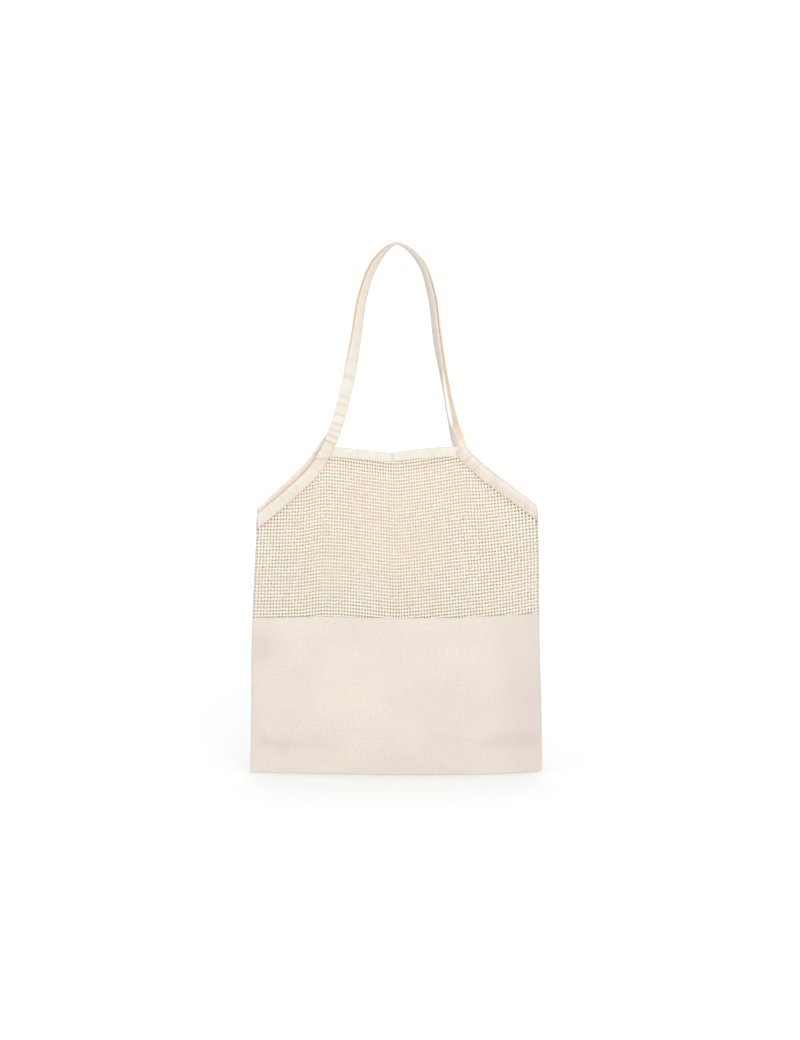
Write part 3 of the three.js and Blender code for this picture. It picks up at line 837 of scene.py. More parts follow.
def tape_piece(name, tape, inside, material):
    """A closed mesh over the sections of a tape, with the weave laid along it; inside is 1 or -1."""
    rings = tape.rings()
    count, sides = rings.shape[:2]
    number = np.arange(count * sides).reshape(count, sides)
    faces = grid_faces(np.hstack([number, number[:, :1]]))
    faces += [number[0].tolist(), number[-1][::-1].tolist()]
    girth = run_lengths(rings[count // 2])
    uv = np.stack(np.broadcast_arrays(tape.lengths()[:, None], girth[None]), -1).reshape(-1, 2)
    piece = new_piece(name, rings.reshape(-1, 3), faces, material, uv)
    facing_in = tape.inward * inside > 0
    # Painted warm bounce light on the faces that look into the bag, and painted shade in the creases, weaker
    # on those faces
    mark(piece, "painted_inner_bounce", facing_in * tape.unfaded[:, None])
    mark(piece, "crease", tape.painted_shade * (1 - INNER_CREASE_LOSS * facing_in))
    return piece


def mark(piece, name, values, kind="FLOAT", domain="POINT"):
    """Gives each vertex or face a value that the materials and trees read by name."""
    values = np.asarray(values, bool if kind == "BOOLEAN" else np.float32).ravel()
    piece.data.attributes.new(name, kind, domain).data.foreach_set("value", values)


def cloth_rows():
    """Shares of the way from the hem to the fold, and the turn of the rows round the fold."""
    straight = int((SEAM_MIDDLE - BOTTOM_Z - FOLD_RISE) / CLOTH_STEP)
    shares = np.concatenate([np.linspace(0, 1, straight + 1), np.ones(len(FOLD_TURNS))])
    turns = np.concatenate([np.zeros(straight + 1), np.radians(FOLD_TURNS)])
    return shares, turns


def cloth_shell(inset):
    """Points of the outer or inner face: rows from the front hem round the fold to the back hem."""
    columns = np.linspace(-1, 1, int(2 * HALF_WIDTH_BOTTOM / CLOTH_STEP) + 1)
    shares, turns = cloth_rows()
    level = between(SEAM_MIDDLE, BOTTOM_Z + FOLD_RISE, shares)
    walls = []
    for wall in (FRONT, BACK):
        across = columns[None] * (side_line(columns[None] < 0, level[:, None]) - inset)
        hem = at_place(across, SEAM_LINE)
        z = between(hem, at_place(across, BOTTOM_LINE) + FOLD_RISE, shares[:, None])
        points = wall.point(across, z, 0.0)
        half = np.maximum(np.abs(points[..., 1]) - inset, SHELL_LEAST_DEPTH)
        points[..., 1] = wall.side * half * np.cos(turns)[:, None]
        points[..., 2] -= (FOLD_RISE - inset) * np.sin(turns)[:, None]
        walls.append(points)
    front, back = walls
    return np.concatenate([front, back[-2::-1]])


def lower_cloth_piece(name, thickness, material):
    """One length of cloth, folded at the bottom and sewn at both sides, as a closed thin pouch."""
    points, uvs, faces = [], [], []
    rims = []
    for inset, overhang, flipped in ((0.0, SEAM_OVERHANG, False), (thickness, SEAM_OVERHANG_INSIDE, True)):
        shell = cloth_shell(inset)
        rows, columns = shell.shape[:2]
        middle = rows // 2
        base = sum(len(p) for p in points)
        number = base + np.arange(rows * columns).reshape(rows, columns)
        path = run_lengths(shell[:, columns // 2])
        uv = np.stack(np.broadcast_arrays(shell[..., 0], path[:, None]), -1)
        points.append(shell.reshape(-1, 3))
        uvs.append(uv.reshape(-1, 2))
        made = grid_faces(number)
        seams = []
        for column, outward in ((0, -1), (columns - 1, 1)):
            edge = shell[:middle, column].copy()
            edge[:, 1] = 0.0
            edge[:, 0] += outward * overhang
            start = sum(len(p) for p in points)
            seam = np.append(start + np.arange(middle), number[middle, column])
            points.append(edge)
            uvs.append(uv[:middle, column])
            front = number[: middle + 1, column]
            back = number[: middle - 1 : -1, column]
            pair = [np.stack([seam, front], 1), np.stack([back, seam], 1)]
            for strip in pair:
                made += grid_faces(strip if outward < 0 else strip[:, ::-1])
            seams.append(seam[0])
        faces += [face[::-1] for face in made] if flipped else made
        rims.append(np.concatenate([number[0], [seams[1]], number[-1][::-1], [seams[0]]]))
    outer, inner = rims
    points = np.concatenate(points)
    top = (points[outer] + points[inner]) / 2 + np.array([0.0, 0.0, HEM_ROUND])
    rim = len(points) + np.arange(len(top))
    points = np.concatenate([points, top])
    uvs = np.concatenate(uvs + [np.concatenate(uvs)[outer]])
    loops = np.stack([outer, rim, inner])
    faces += [face[::-1] for face in grid_faces(np.hstack([loops, loops[:, :1]]))]
    piece = new_piece(name, points, faces, material, uvs)
    x, y, z = points.T
    # Painted shade in the creases and broad patches of the cloth
    mark(piece, "crease", np.where(y < 0, FRONT.painted_shade(x, z), BACK.painted_shade(x, z)))
    return piece


def net_points(wall, across, up):
    """Places of the net's crossings: across from -1 to 1, up in millimetres above the seam."""
    x = across * (1 - NET_WIDENING + NET_WIDENING * across ** 2) * side_line(across < 0, SEAM_MIDDLE + up)
    x = x - at_place(x, COLUMN_SHIFT) * up / SHIFT_LEVEL
    seam = at_place(x, SEAM_LINE)
    steps = (-ROW_SOFTNESS, 0, ROW_SOFTNESS)
    low, high = (sum(at_place(x + step, ROW_RISE, k) for step in steps) / len(steps) for k in (1, 2))
    level = smoothstep(seam + up, ROW_LEVELS)
    z = seam + up + (1 - level) * low + level * high
    if wall is BACK:
        apart = FRONT.depth(x, z) + BACK.depth(x, z)
        z = z + apart * (z - EYE_LEVEL) / EYE_DISTANCE
    sink = NET_SINK * (1 - smoothstep(z - seam, NET_SINK_LEVELS))
    points = wall.point(x, z, 0.0)
    points[..., 1] = wall.side * np.maximum(np.abs(points[..., 1]) - WALL_MIDDLE - sink, NET_LEAST_DEPTH)
    return points, z - seam


def net_base(name, wall, pitch_across, pitch_up, shift):
    """The uncut net: one eight-cornered face for each cell, with what the netting tree reads."""
    columns = int(round(2 * half_width(SEAM_MIDDLE) * (1 - NET_WIDENING) / pitch_across))
    lowest = -NET_UNDER_HEM - ROW_ROOM
    rows = int((MOUTH_Z - SEAM_MIDDLE - lowest) / pitch_up) + 1
    across = np.linspace(-1, 1, 2 * columns + 1)
    up = lowest + (shift + np.arange(2 * rows + 1)) * pitch_up / 2
    points, above_seam = net_points(wall, *np.meshgrid(across, up))
    inside = points[..., 2] <= wall.edge_height(points[..., 0]) - NET_TUCK
    inside &= above_seam >= -NET_UNDER_HEM
    number = np.arange(points[..., 0].size).reshape(points.shape[:2])
    faces, ends = [], {0: [], 2 * columns: []}
    for j in range(0, 2 * rows, 2):
        for i in range(0, 2 * columns, 2):
            if inside[j:j + 3, i:i + 3].all():
                faces.append([int(number[j + dj, i + di]) for dj, di in CELL_RING])
                for end in ends:
                    if end in (i, i + 2):
                        ends[end].append(j)
    cells = len(faces)
    points, strips = closed_sides(points.reshape(-1, 3), number, ends)
    faces += strips
    knot = np.zeros(len(points))
    knot[number[::2, ::2].ravel()] = 1.0
    used = np.unique(np.concatenate([np.array(face) for face in faces]))
    renumber = np.full(len(points), -1)
    renumber[used] = np.arange(len(used))
    kept = points[used]
    sheet = new_piece(name, kept, [renumber[face[::-wall.side]].tolist() for face in faces])
    polygons = sheet.data.polygons
    seen = Counter(edge for polygon in polygons for edge in polygon.edge_keys)
    rim = {vertex for edge, times in seen.items() if times == 1 for vertex in edge}
    body = np.ones(len(used))
    body[sorted(rim)] = 0.0
    opened = [k < cells and rim.isdisjoint(polygon.vertices) for k, polygon in enumerate(polygons)]
    place = np.array([kept[polygon.vertices[0], 0] for polygon in polygons])
    mark(sheet, "knot", knot[used])
    mark(sheet, "body", body)
    mark(sheet, "open", opened, "BOOLEAN", "FACE")
    mark(sheet, "slack", 1 - DRAWN_SHARE * smoothstep(np.abs(place), DRAWN_PLACES), domain="FACE")
    if read(polygons, "normal")[:, 1].sum() * wall.side < 0:
        sheet.data.flip_normals()
    return sheet


def closed_sides(points, number, ends):
    """Points of a net with those of its side seams, and the faces that run from its ends to the seams."""
    extra, strips = [], []
    for end, starts in ends.items():
        turned_in = {}
        for j in starts:
            strip = [int(number[j + k, end]) for k in range(3)]
            for vertex in strip:
                if vertex not in turned_in:
                    turned_in[vertex] = len(points) + len(extra)
                    extra.append(points[vertex] * np.array([1.0, 0.0, 1.0]))
            face = strip + [turned_in[vertex] for vertex in reversed(strip)]
            strips.append(face if end else face[::-1])
    return np.concatenate([points, np.array(extra)]), strips


def mark_inner(piece, wall):
    """Marks the painted warm bounce light on the faces of a net that look into the bag, most of all where its
    walls stand apart, the painted shade just under the tapes, and the places beside the side seams.
    """
    x, y, z = read(piece.data.vertices, "co").T / MM
    inward = smoothstep(-wall.side * read(piece.data.vertex_normals, "vector")[:, 1], NET_FACING)
    mark(piece, "painted_inner_bounce", inward * smoothstep(np.abs(y), NET_INNER_DEPTHS))
    covered = np.where((x > FRONT_BAND[0]) & (x < FRONT_BAND[2]), BAND_WIDTH, SLANT_COVER)
    below = wall.edge_height(x) - covered - z
    # Painted shade on the cords just under the tapes
    mark(piece, "painted_shade_under_tape", 1 - smoothstep(below, UNDER_TAPE))
    mark(piece, "beside_seam", smoothstep(np.abs(x), DRAWN_PLACES))


def put(tree, kind, inputs=None, **settings):
    """A new node with its settings and inputs; an input is a value or the socket it comes from."""
    made = tree.nodes.new(kind)
    for key, value in settings.items():
        setattr(made, key, value)
    for key, value in (inputs or {}).items():
        if isinstance(value, bpy.types.NodeSocket):
            tree.links.new(value, made.inputs[key])
        else:
            made.inputs[key].default_value = value
    return made


def field(tree, kind, inputs=None, output=0, **settings):
    """One output of a new node."""
    return put(tree, kind, inputs, **settings).outputs[output]


def math_node(tree, operation, *values):
    return field(tree, "ShaderNodeMath", dict(enumerate(values)), operation=operation)


def vector_node(tree, operation, *values):
    return field(tree, "ShaderNodeVectorMath", dict(enumerate(values)), operation=operation)


def scaled(tree, vector, factor):
    return field(tree, "ShaderNodeVectorMath", {0: vector, "Scale": factor}, operation="SCALE")


def captured(tree, geometry, domain, **fields):
    """Geometry that carries the named fields, and their sockets."""
    node = put(tree, "GeometryNodeCaptureAttribute", domain=domain)
    for name, (kind, _) in fields.items():
        node.capture_items.new(kind, name)
    tree.links.new(geometry, node.inputs[0])
    for name, (_, socket) in fields.items():
        tree.links.new(socket, node.inputs[name])
    return node.outputs[0], [node.outputs[name] for name in fields]


def named(tree, name, kind="FLOAT"):
    return field(tree, "GeometryNodeInputNamedAttribute", {"Name": name}, "Attribute", data_type=kind)


def chance(tree, low, high, seed):
    """A random number for each element, by the seed and its index, from the node's sockets for numbers."""
    index = field(tree, "GeometryNodeInputIndex")
    return field(tree, "FunctionNodeRandomValue", {2: low, 3: high, 7: index, 8: seed}, 1, data_type="FLOAT")


def new_tree(name, inputs):
    """An empty modifier tree with its named inputs, and the identifier of each."""
    tree = bpy.data.node_groups.new(name, "GeometryNodeTree")
    tree.is_modifier = True
    tree.interface.new_socket("Geometry", in_out="INPUT", socket_type="NodeSocketGeometry")
    keys = {}
    for label, kind in inputs.items():
        socket = tree.interface.new_socket(label, in_out="INPUT", socket_type=f"NodeSocket{kind}")
        keys[label] = socket.identifier
    tree.interface.new_socket("Geometry", in_out="OUTPUT", socket_type="NodeSocketGeometry")
    return tree, tree.nodes.new("NodeGroupInput").outputs, keys


def finish_tree(tree, geometry, material):
    smooth = field(tree, "GeometryNodeSetShadeSmooth", {"Geometry": geometry})
    real = field(tree, "GeometryNodeRealizeInstances", {"Geometry": smooth})
    painted = field(tree, "GeometryNodeSetMaterial", {"Geometry": real, "Material": material})
    tree.links.new(painted, tree.nodes.new("NodeGroupOutput").inputs[0])


def netting_tree():
    """Opens a rounded hole in each cell and gives the cords between the holes their thickness."""
    tree, given, keys = new_tree("netting", {
        "Hole share": "Float", "Hole shape": "Vector", "Hole spread": "Float", "Corner rounding": "Float",
        "Cord depth": "Float", "Knot depth": "Float", "Seed": "Int", "Material": "Material",
    })
    position = field(tree, "GeometryNodeInputPosition")
    normal = field(tree, "GeometryNodeInputNormal")
    cells, (centre, luck, slack) = captured(
        tree, given["Geometry"], "FACE", centre=("VECTOR", position),
        luck=("FLOAT", chance(tree, -1.0, 1.0, given["Seed"])), slack=("FLOAT", named(tree, "slack")),
    )
    cells, (through, knot, body) = captured(
        tree, cells, "POINT", through=("VECTOR", normal), knot=("FLOAT", named(tree, "knot")),
        body=("FLOAT", named(tree, "body")),
    )
    cut = put(tree, "GeometryNodeExtrudeMesh", {
        "Mesh": cells, "Selection": named(tree, "open", "BOOLEAN"), "Offset Scale": 0.0, "Individual": True,
    }, mode="FACES").outputs
    spread = math_node(tree, "MULTIPLY_ADD", luck, given["Hole spread"], slack)
    rounding = math_node(tree, "SUBTRACT", 1.0, math_node(tree, "MULTIPLY", given["Corner rounding"], knot))
    share = math_node(tree, "MULTIPLY", math_node(tree, "MULTIPLY", given["Hole share"], spread), rounding)
    from_centre = vector_node(tree, "SUBTRACT", position, centre)
    shaped = vector_node(tree, "MULTIPLY", from_centre, given["Hole shape"])
    rim_place = vector_node(tree, "ADD", centre, scaled(tree, shaped, share))
    shrunk = field(tree, "GeometryNodeSetPosition", {
        "Geometry": cut["Mesh"], "Selection": cut["Top"], "Position": rim_place,
    })
    marked, (rim,) = captured(tree, shrunk, "POINT", rim=("FLOAT", cut["Top"]))
    holed = field(
        tree, "GeometryNodeDeleteGeometry", {"Geometry": marked, "Selection": cut["Top"]}, domain="FACE"
    )
    stored = field(tree, "GeometryNodeStoreNamedAttribute", {
        "Geometry": holed, "Name": "hole_edge", "Value": rim,
    }, data_type="FLOAT", domain="POINT")
    more = math_node(tree, "SUBTRACT", given["Knot depth"], given["Cord depth"])
    depth = math_node(tree, "MULTIPLY_ADD", knot, more, given["Cord depth"])
    solid = math_node(tree, "MULTIPLY", body, math_node(tree, "SUBTRACT", 1.0, rim))
    offset = scaled(tree, through, math_node(tree, "MULTIPLY", depth, solid))
    outer = field(tree, "GeometryNodeSetPosition", {"Geometry": stored, "Offset": offset})
    back = scaled(tree, offset, -1.0)
    inner = field(tree, "GeometryNodeSetPosition", {"Geometry": stored, "Offset": back})
    both = put(tree, "GeometryNodeJoinGeometry")
    tree.links.new(field(tree, "GeometryNodeFlipFaces", {"Mesh": inner}), both.inputs[0])
    tree.links.new(outer, both.inputs[0])
    joined = field(tree, "GeometryNodeMergeByDistance", {
        "Geometry": both.outputs[0], "Distance": MERGE_DISTANCE,
    })
    finish_tree(tree, joined, given["Material"])
    return tree, keys


def stitching_tree():
    """Lays one small rounded stitch after another along a seam line, flat on its surface."""
    tree, given, keys = new_tree("stitching", {
        "Pitch": "Float", "Length": "Float", "Width": "Float", "Height": "Float", "Unevenness": "Float",
        "Seed": "Int", "Material": "Material",
    })
    line = field(tree, "GeometryNodeMeshToCurve", {"Mesh": given["Geometry"]})
    places = field(
        tree, "GeometryNodeResampleCurve", {"Curve": line, "Length": given["Pitch"]}, mode="LENGTH"
    )
    ball = field(tree, "GeometryNodeMeshUVSphere", {
        "Segments": STITCH_SIDES, "Rings": STITCH_RINGS, "Radius": 0.5,
    })
    size = field(tree, "ShaderNodeCombineXYZ", {
        "X": given["Length"], "Y": given["Width"], "Z": given["Height"],
    })
    stitch = field(tree, "GeometryNodeTransform", {"Geometry": ball, "Scale": size})
    tangent = field(tree, "GeometryNodeInputTangent")
    along = field(tree, "FunctionNodeAlignRotationToVector", {"Vector": tangent}, axis="X")
    flat = field(tree, "FunctionNodeAlignRotationToVector", {
        "Rotation": along, "Vector": named(tree, "outward", "FLOAT_VECTOR"),
    }, axis="Z", pivot_axis="X")
    luck = chance(tree, math_node(tree, "SUBTRACT", 1.0, given["Unevenness"]), 1.0, given["Seed"])
    grow = field(tree, "ShaderNodeCombineXYZ", {"X": luck, "Y": luck, "Z": 1.0})
    row = field(tree, "GeometryNodeInstanceOnPoints", {
        "Points": places, "Instance": stitch, "Rotation": flat, "Scale": grow,
    })
    finish_tree(tree, row, given["Material"])
    return tree, keys


def grown(piece, tree, keys, values):
    """Runs a tree on a piece with the given inputs and leaves its result as a plain mesh."""
    modifier = piece.modifiers.new(tree.name, "NODES")
    modifier.node_group = tree
    for label, value in values.items():
        modifier[keys[label]] = value
    bpy.context.view_layer.update()
    found = piece.evaluated_get(bpy.context.evaluated_depsgraph_get())
    mesh = bpy.data.meshes.new_from_object(found)
    piece.modifiers.clear()
    before = piece.data
    piece.data = mesh
    bpy.data.meshes.remove(before)
    mesh.name = piece.name


def new_material(name, roughness, sheen):
    """A matt fibrous material: its tree, the inputs of its shader and the piece's own coordinates."""
    material = bpy.data.materials.new(name)
    material.use_nodes = True
    tree = material.node_tree
    shader = tree.nodes["Principled BSDF"].inputs
    shader["Roughness"].default_value = roughness
    shader["Specular IOR Level"].default_value = FIBRE_SPECULAR
    shader["Sheen Weight"].default_value = sheen
    shader["Sheen Roughness"].default_value = SHEEN_ROUGHNESS
    return material, tree, shader, field(tree, "ShaderNodeTexCoord", output="Object")


def finish_surface(tree, shader, colour, height, strength, distance):
    """Gives a shader its colour and its fine relief."""
    bump = field(tree, "ShaderNodeBump", {"Height": height, "Strength": strength, "Distance": distance})
    tree.links.new(colour, shader["Base Color"])
    tree.links.new(bump, shader["Normal"])


def marked_by(tree, name):
    return field(tree, "ShaderNodeAttribute", output="Fac", attribute_name=name)


def stretched_noise(tree, vector, scale, detail):
    """Noise drawn out along one direction; scale is how often it changes along each axis, per metre."""
    place = field(tree, "ShaderNodeMapping", {"Vector": vector, "Scale": scale})
    return field(tree, "ShaderNodeTexNoise", {
        "Vector": place, "Scale": 1.0, "Detail": detail, "Roughness": NOISE_ROUGHNESS,
    })


def bands(tree, vector, direction, scale, distortion, detail, detail_scale):
    return field(tree, "ShaderNodeTexWave", {
        "Vector": vector, "Scale": scale, "Distortion": distortion, "Detail": detail,
        "Detail Scale": detail_scale,
    }, "Fac", wave_type="BANDS", bands_direction=direction)


def weighed(tree, parts, start=NOISE_MIDDLE):
    """Sum of fields about their middle value, each with its weight."""
    total = start
    for part, weight in parts:
        about_middle = math_node(tree, "MULTIPLY_ADD", part, weight, -NOISE_MIDDLE * weight)
        total = math_node(tree, "ADD", about_middle, total)
    return total


def blended(tree, factor, low, high):
    """Mix of two colours; they go into the sockets 6 and 7 of a mix node and come out of its socket 2."""
    node = put(tree, "ShaderNodeMix", {"Factor": factor}, data_type="RGBA", clamp_factor=True)
    for key, value in ((6, low), (7, high)):
        if isinstance(value, bpy.types.NodeSocket):
            tree.links.new(value, node.inputs[key])
        else:
            node.inputs[key].default_value = (*value, 1.0)
    return node.outputs[2]


def weave_height(tree, vector, pitch):
    """Plain weave: threads over and under each other, pitch metres from one to the next."""
    scale = math.pi / (WAVE_RADIANS * pitch)
    across, upward = (bands(tree, vector, direction, scale, *WEAVE_WAVE) for direction in "XY")
    return math_node(tree, "ABSOLUTE", math_node(tree, "SUBTRACT", across, upward))


def cotton_material(name, pale, deep, painted_shade, pitch, streak, impression=None, inner=None):
    """Woven cotton: uneven threads both ways, soft patches of tone and a plain weave."""
    material, tree, shader, place = new_material(name, *COTTON_FINISH)
    uv = field(tree, "ShaderNodeUVMap", uv_map=WEAVE_UV)
    across = stretched_noise(tree, uv, *COTTON_ACROSS)
    upward = stretched_noise(tree, uv, *COTTON_UPWARD)
    patches = stretched_noise(tree, place, *COTTON_PATCHES)
    specks = stretched_noise(tree, uv, *COTTON_SPECKS)
    tone = weighed(tree, [
        (across, streak), (upward, UPWARD_STREAK * streak), (patches, PATCH_WEIGHT), (specks, SPECK_WEIGHT),
    ])
    colour = blended(tree, tone, deep, pale)
    # Painted warm bounce light on the faces that look into the bag
    if inner is not None:
        inside = blended(tree, tone, [INNER_DEEP * c for c in inner], inner)
        colour = blended(tree, marked_by(tree, "painted_inner_bounce"), colour, inside)
    # Painted shade in the creases, turn lines and shaded stretches that each piece marks
    colour = blended(tree, marked_by(tree, "crease"), colour, painted_shade)
    height = math_node(tree, "MULTIPLY", weave_height(tree, uv, pitch), WEAVE_RISE)
    height = weighed(tree, [(across, ACROSS_RISE), (upward, UPWARD_RISE)], height)
    if impression is not None:
        height = math_node(tree, "ADD", height, impression(tree, uv))
    finish_surface(tree, shader, colour, height, *COTTON_BUMP)
    return material


def hem_impression(hem_rows, pitch_across, pitch_up):
    """The net pressed through the cloth just below the upper seam."""
    full, none = HEM_MARK_FADE

    def height(tree, uv):
        apart = put(tree, "ShaderNodeSeparateXYZ", {"Vector": uv}).outputs
        dots = math_node(tree, "MULTIPLY", *[
            math_node(tree, "SINE", math_node(tree, "MULTIPLY", apart[axis], 2 * math.pi / step))
            for axis, step in ((0, pitch_across), (1, pitch_up))
        ])
        ends = []
        for from_hem in hem_rows:
            away = math_node(tree, "ABSOLUTE", math_node(tree, "SUBTRACT", apart[1], from_hem))
            ends.append(field(tree, "ShaderNodeMapRange", {
                "Value": away, "From Min": full, "From Max": none, "To Min": 1.0, "To Max": 0.0,
            }))
        rise = math_node(tree, "MULTIPLY", math_node(tree, "ADD", *ends), HEM_MARK_RISE)
        return math_node(tree, "MULTIPLY", dots, rise)

    return height


def net_material(name, pale, deep, hole, inner):
    """Soft twisted cord, with painted shade at the rims of the holes and under the tapes, and painted warm
    bounce light inside the bag.
    """
    material, tree, shader, place = new_material(name, *NET_FINISH)
    shader["Subsurface Radius"].default_value = CORD_LIGHT_REACH
    shader["Subsurface Scale"].default_value = CORD_LIGHT_DEPTH
    fibres = stretched_noise(tree, place, *NET_FIBRES)
    patches = stretched_noise(tree, place, *NET_PATCHES)
    uneven = stretched_noise(tree, place, *NET_UNEVEN)
    tone = weighed(tree, [(fibres, FIBRE_WEIGHT), (patches, PATCH_WEIGHT), (uneven, UNEVEN_WEIGHT)])
    beside = marked_by(tree, "beside_seam")
    light = math_node(tree, "MULTIPLY_ADD", beside, SEAM_LIGHT_GAIN, CORD_LIGHT_SHARE)
    tree.links.new(light, shader["Subsurface Weight"])
    cord = blended(tree, math_node(tree, "MULTIPLY_ADD", beside, SEAM_TONE_CHANGE, tone), deep, pale)
    # Painted shade at the rims of the holes, painted warm bounce light on the faces inside the bag, and
    # painted shade under the tapes
    edge = math_node(tree, "POWER", marked_by(tree, "hole_edge"), RIM_SHARPNESS)
    inner_bounce_mask = marked_by(tree, "painted_inner_bounce")
    under = marked_by(tree, "painted_shade_under_tape")
    shaded_under_tape = math_node(tree, "MULTIPLY", math_node(tree, "MAXIMUM", inner_bounce_mask, edge), under)
    colour = blended(tree, inner_bounce_mask, blended(tree, edge, cord, hole), inner)
    colour = blended(tree, shaded_under_tape, colour, [UNDER_TAPE_SHADE * c for c in hole])
    twist = bands(tree, place, "DIAGONAL", CORD_TWIST, *CORD_WAVE)
    finish_surface(tree, shader, colour, weighed(tree, [(twist, CORD_RISE), (fibres, CORD_RISE)]), *NET_BUMP)
    return material


def thread_material(name, pale, deep):
    """Twisted sewing thread, close to the tape in tone."""
    material, tree, shader, place = new_material(name, *THREAD_FINISH)
    tone = weighed(tree, [(stretched_noise(tree, place, *THREAD_UNEVEN), THREAD_WEIGHT)])
    twist = bands(tree, place, "DIAGONAL", THREAD_TWIST, *EVEN_WAVE)
    finish_surface(tree, shader, blended(tree, tone, deep, pale), twist, *THREAD_BUMP)
    return material


def paper_material(name, colour):
    """Matt white studio paper with a barely uneven tone."""
    material, tree, shader, place = new_material(name, *PAPER_FINISH)
    grain = stretched_noise(tree, place, *PAPER_GRAIN)
    darker = [PAPER_DEEP * c for c in colour]
    tree.links.new(blended(tree, grain, darker, colour), shader["Base Color"])
    return material


def length_property(name, description, default):
    return FloatProperty(
        name=name, description=description, default=default, min=0.0, precision=5, unit="LENGTH",
        subtype="DISTANCE",
    )


def ratio_property(name, description, default):
    return FloatProperty(name=name, description=description, default=default, min=0.0)


def share_property(name, description, default):
    return FloatProperty(
        name=name, description=description, default=default, min=0.0, max=1.0, subtype="FACTOR"
    )


def power_property(name, description, default):
    return FloatProperty(name=name, description=description, default=default, min=0.0, unit="POWER")


def seed_property(description, default):
    return IntProperty(name="Seed", description=description, default=default)


def colour_property(name, description, default):
    return FloatVectorProperty(
        name=name, description=description, default=default, size=3, min=0.0, max=1.0, subtype="COLOR"
    )


class ClothSettings(bpy.types.PropertyGroup):
    """Sizes and colours of the plain cloth."""

    thickness: length_property("Thickness", "Thickness of the plain cloth", 0.0008)
    thread_pitch: length_property("Thread pitch", "Distance from thread to thread of the weave", 0.00055)
    pale: colour_property("Pale tone", "Lighter tone of the unbleached cloth", (0.614, 0.561, 0.494))
    # The crease tone is painted shade in the creases and broad patches of the cloth
    painted_shade: colour_property("Crease tone", "Tone of the cloth in its creases", (0.512, 0.452, 0.412))
    deep: colour_property("Deep tone", "Darker tone of the unbleached cloth", (0.534, 0.482, 0.437))


class NetSettings(bpy.types.PropertyGroup):
    """Sizes and colours of the two nets."""

    pitch_across: length_property("Pitch across", "Distance from hole to hole along a row", 0.00364)
    pitch_up: length_property("Pitch up", "Distance from one row of holes to the next", 0.00438)
    hole_share: share_property("Hole share", "Width of a hole as a share of its cell", 0.398)
    hole_width: ratio_property("Hole width", "Width of a hole against a hole shaped like its cell", 0.94)
    hole_height: ratio_property("Hole height", "Height of a hole against a hole shaped like its cell", 1.08)
    hole_spread: share_property("Hole spread", "How much the holes differ in size", 0.08)
    rounding: share_property("Corner rounding", "How far the corners of the holes are filled", 0.2)
    cord_depth: length_property("Cord depth", "Half thickness of the cords between knots", 0.00036)
    knot_depth: length_property("Knot depth", "Half thickness of the net at its knots", 0.00052)
    seed: seed_property("Fixes the chance differences between the holes", 7)
    pale: colour_property("Pale tone", "Lighter tone of the cords", (0.718, 0.673, 0.574))
    deep: colour_property("Deep tone", "Darker tone of the cords", (0.664, 0.62, 0.526))
    # The hole tone is painted shade at the rims of the holes, and the inner tone is painted warm bounce light
    # inside the bag
    hole: colour_property("Hole tone", "Tone of the cord at the rim of a hole", (0.92, 0.63, 0.54))
    inner: colour_property("Inner tone", "Tone of the cord inside the bag", (0.99, 0.812, 0.735))


class TapeSettings(bpy.types.PropertyGroup):
    """Sizes and colours of the tapes and the stitches on them."""

    ply: length_property("Ply", "Thickness of one layer of the folded tape", 0.0007)
    thread_pitch: length_property("Thread pitch", "Distance from thread to thread of the weave", 0.0005)
    pale: colour_property("Pale tone", "Lighter tone of the tape", (0.652, 0.621, 0.539))
    deep: colour_property("Deep tone", "Darker tone of the tape", (0.57, 0.539, 0.466))
    # The crease tone is painted shade in the creases, on the lower halves and on the right strand
    painted_shade: colour_property("Crease tone", "Tone of the tape in its creases", (0.50, 0.405, 0.365))
    # The inner tone is painted warm bounce light on the faces that look into the bag, not fading
    inner: colour_property("Inner tone", "Tone of the less faded inner face of the tape", (0.82, 0.672, 0.52))
    stitch_pitch: length_property("Stitch pitch", "Distance from one stitch to the next", 0.0031)
    stitch_length: length_property("Stitch length", "Length of thread that shows in a stitch", 0.0025)
    stitch_width: length_property("Stitch width", "Thickness of the sewing thread", 0.00042)
    stitch_inset: length_property("Stitch inset", "Distance of the stitches from a tape's open edge", 0.0019)
    seed: seed_property("Fixes the chance differences between the pleats and the stitches", 5)
    thread_pale: colour_property("Thread pale tone", "Lighter tone of the thread", (0.70, 0.66, 0.58))
    thread_deep: colour_property("Thread deep tone", "Darker tone of the thread", (0.61, 0.57, 0.49))


class StageSettings(bpy.types.PropertyGroup):
    """Camera, floor and lights."""

    distance: length_property("Camera distance", "Distance from the camera to the bag", 3.2)
    elevation: FloatProperty(
        name="Camera elevation", description="Height of the view above the horizon",
        default=math.radians(2.5), subtype="ANGLE", unit="ROTATION",
    )
    view_height: length_property("View height", "Height of the picture where the bag hangs", 1.352)
    floor_gap: length_property("Floor gap", "How far the bag hangs above the floor", 0.002)
    floor: colour_property("Floor colour", "Colour of the studio paper", (0.951, 0.956, 0.963))
    sky: ratio_property("Fill light", "Strength of the even light from all round", 0.94)
    key_power: power_property("Key light", "Power of the large front light", 50.0)
    back_power: power_property("Back light", "Power of the light over the paper behind the bag", 10.0)


def area_light(name, power, size, place, target):
    lamp = bpy.data.lights.new(name, "AREA")
    lamp.shape = "DISK"
    lamp.size = size
    lamp.energy = power
    light = bpy.data.objects.new(name, lamp)
    light.location = place
    light.visible_camera = False
    light.rotation_euler = (Vector(target) - Vector(place)).to_track_quat("-Z", "Y").to_euler()
    bpy.context.scene.collection.objects.link(light)


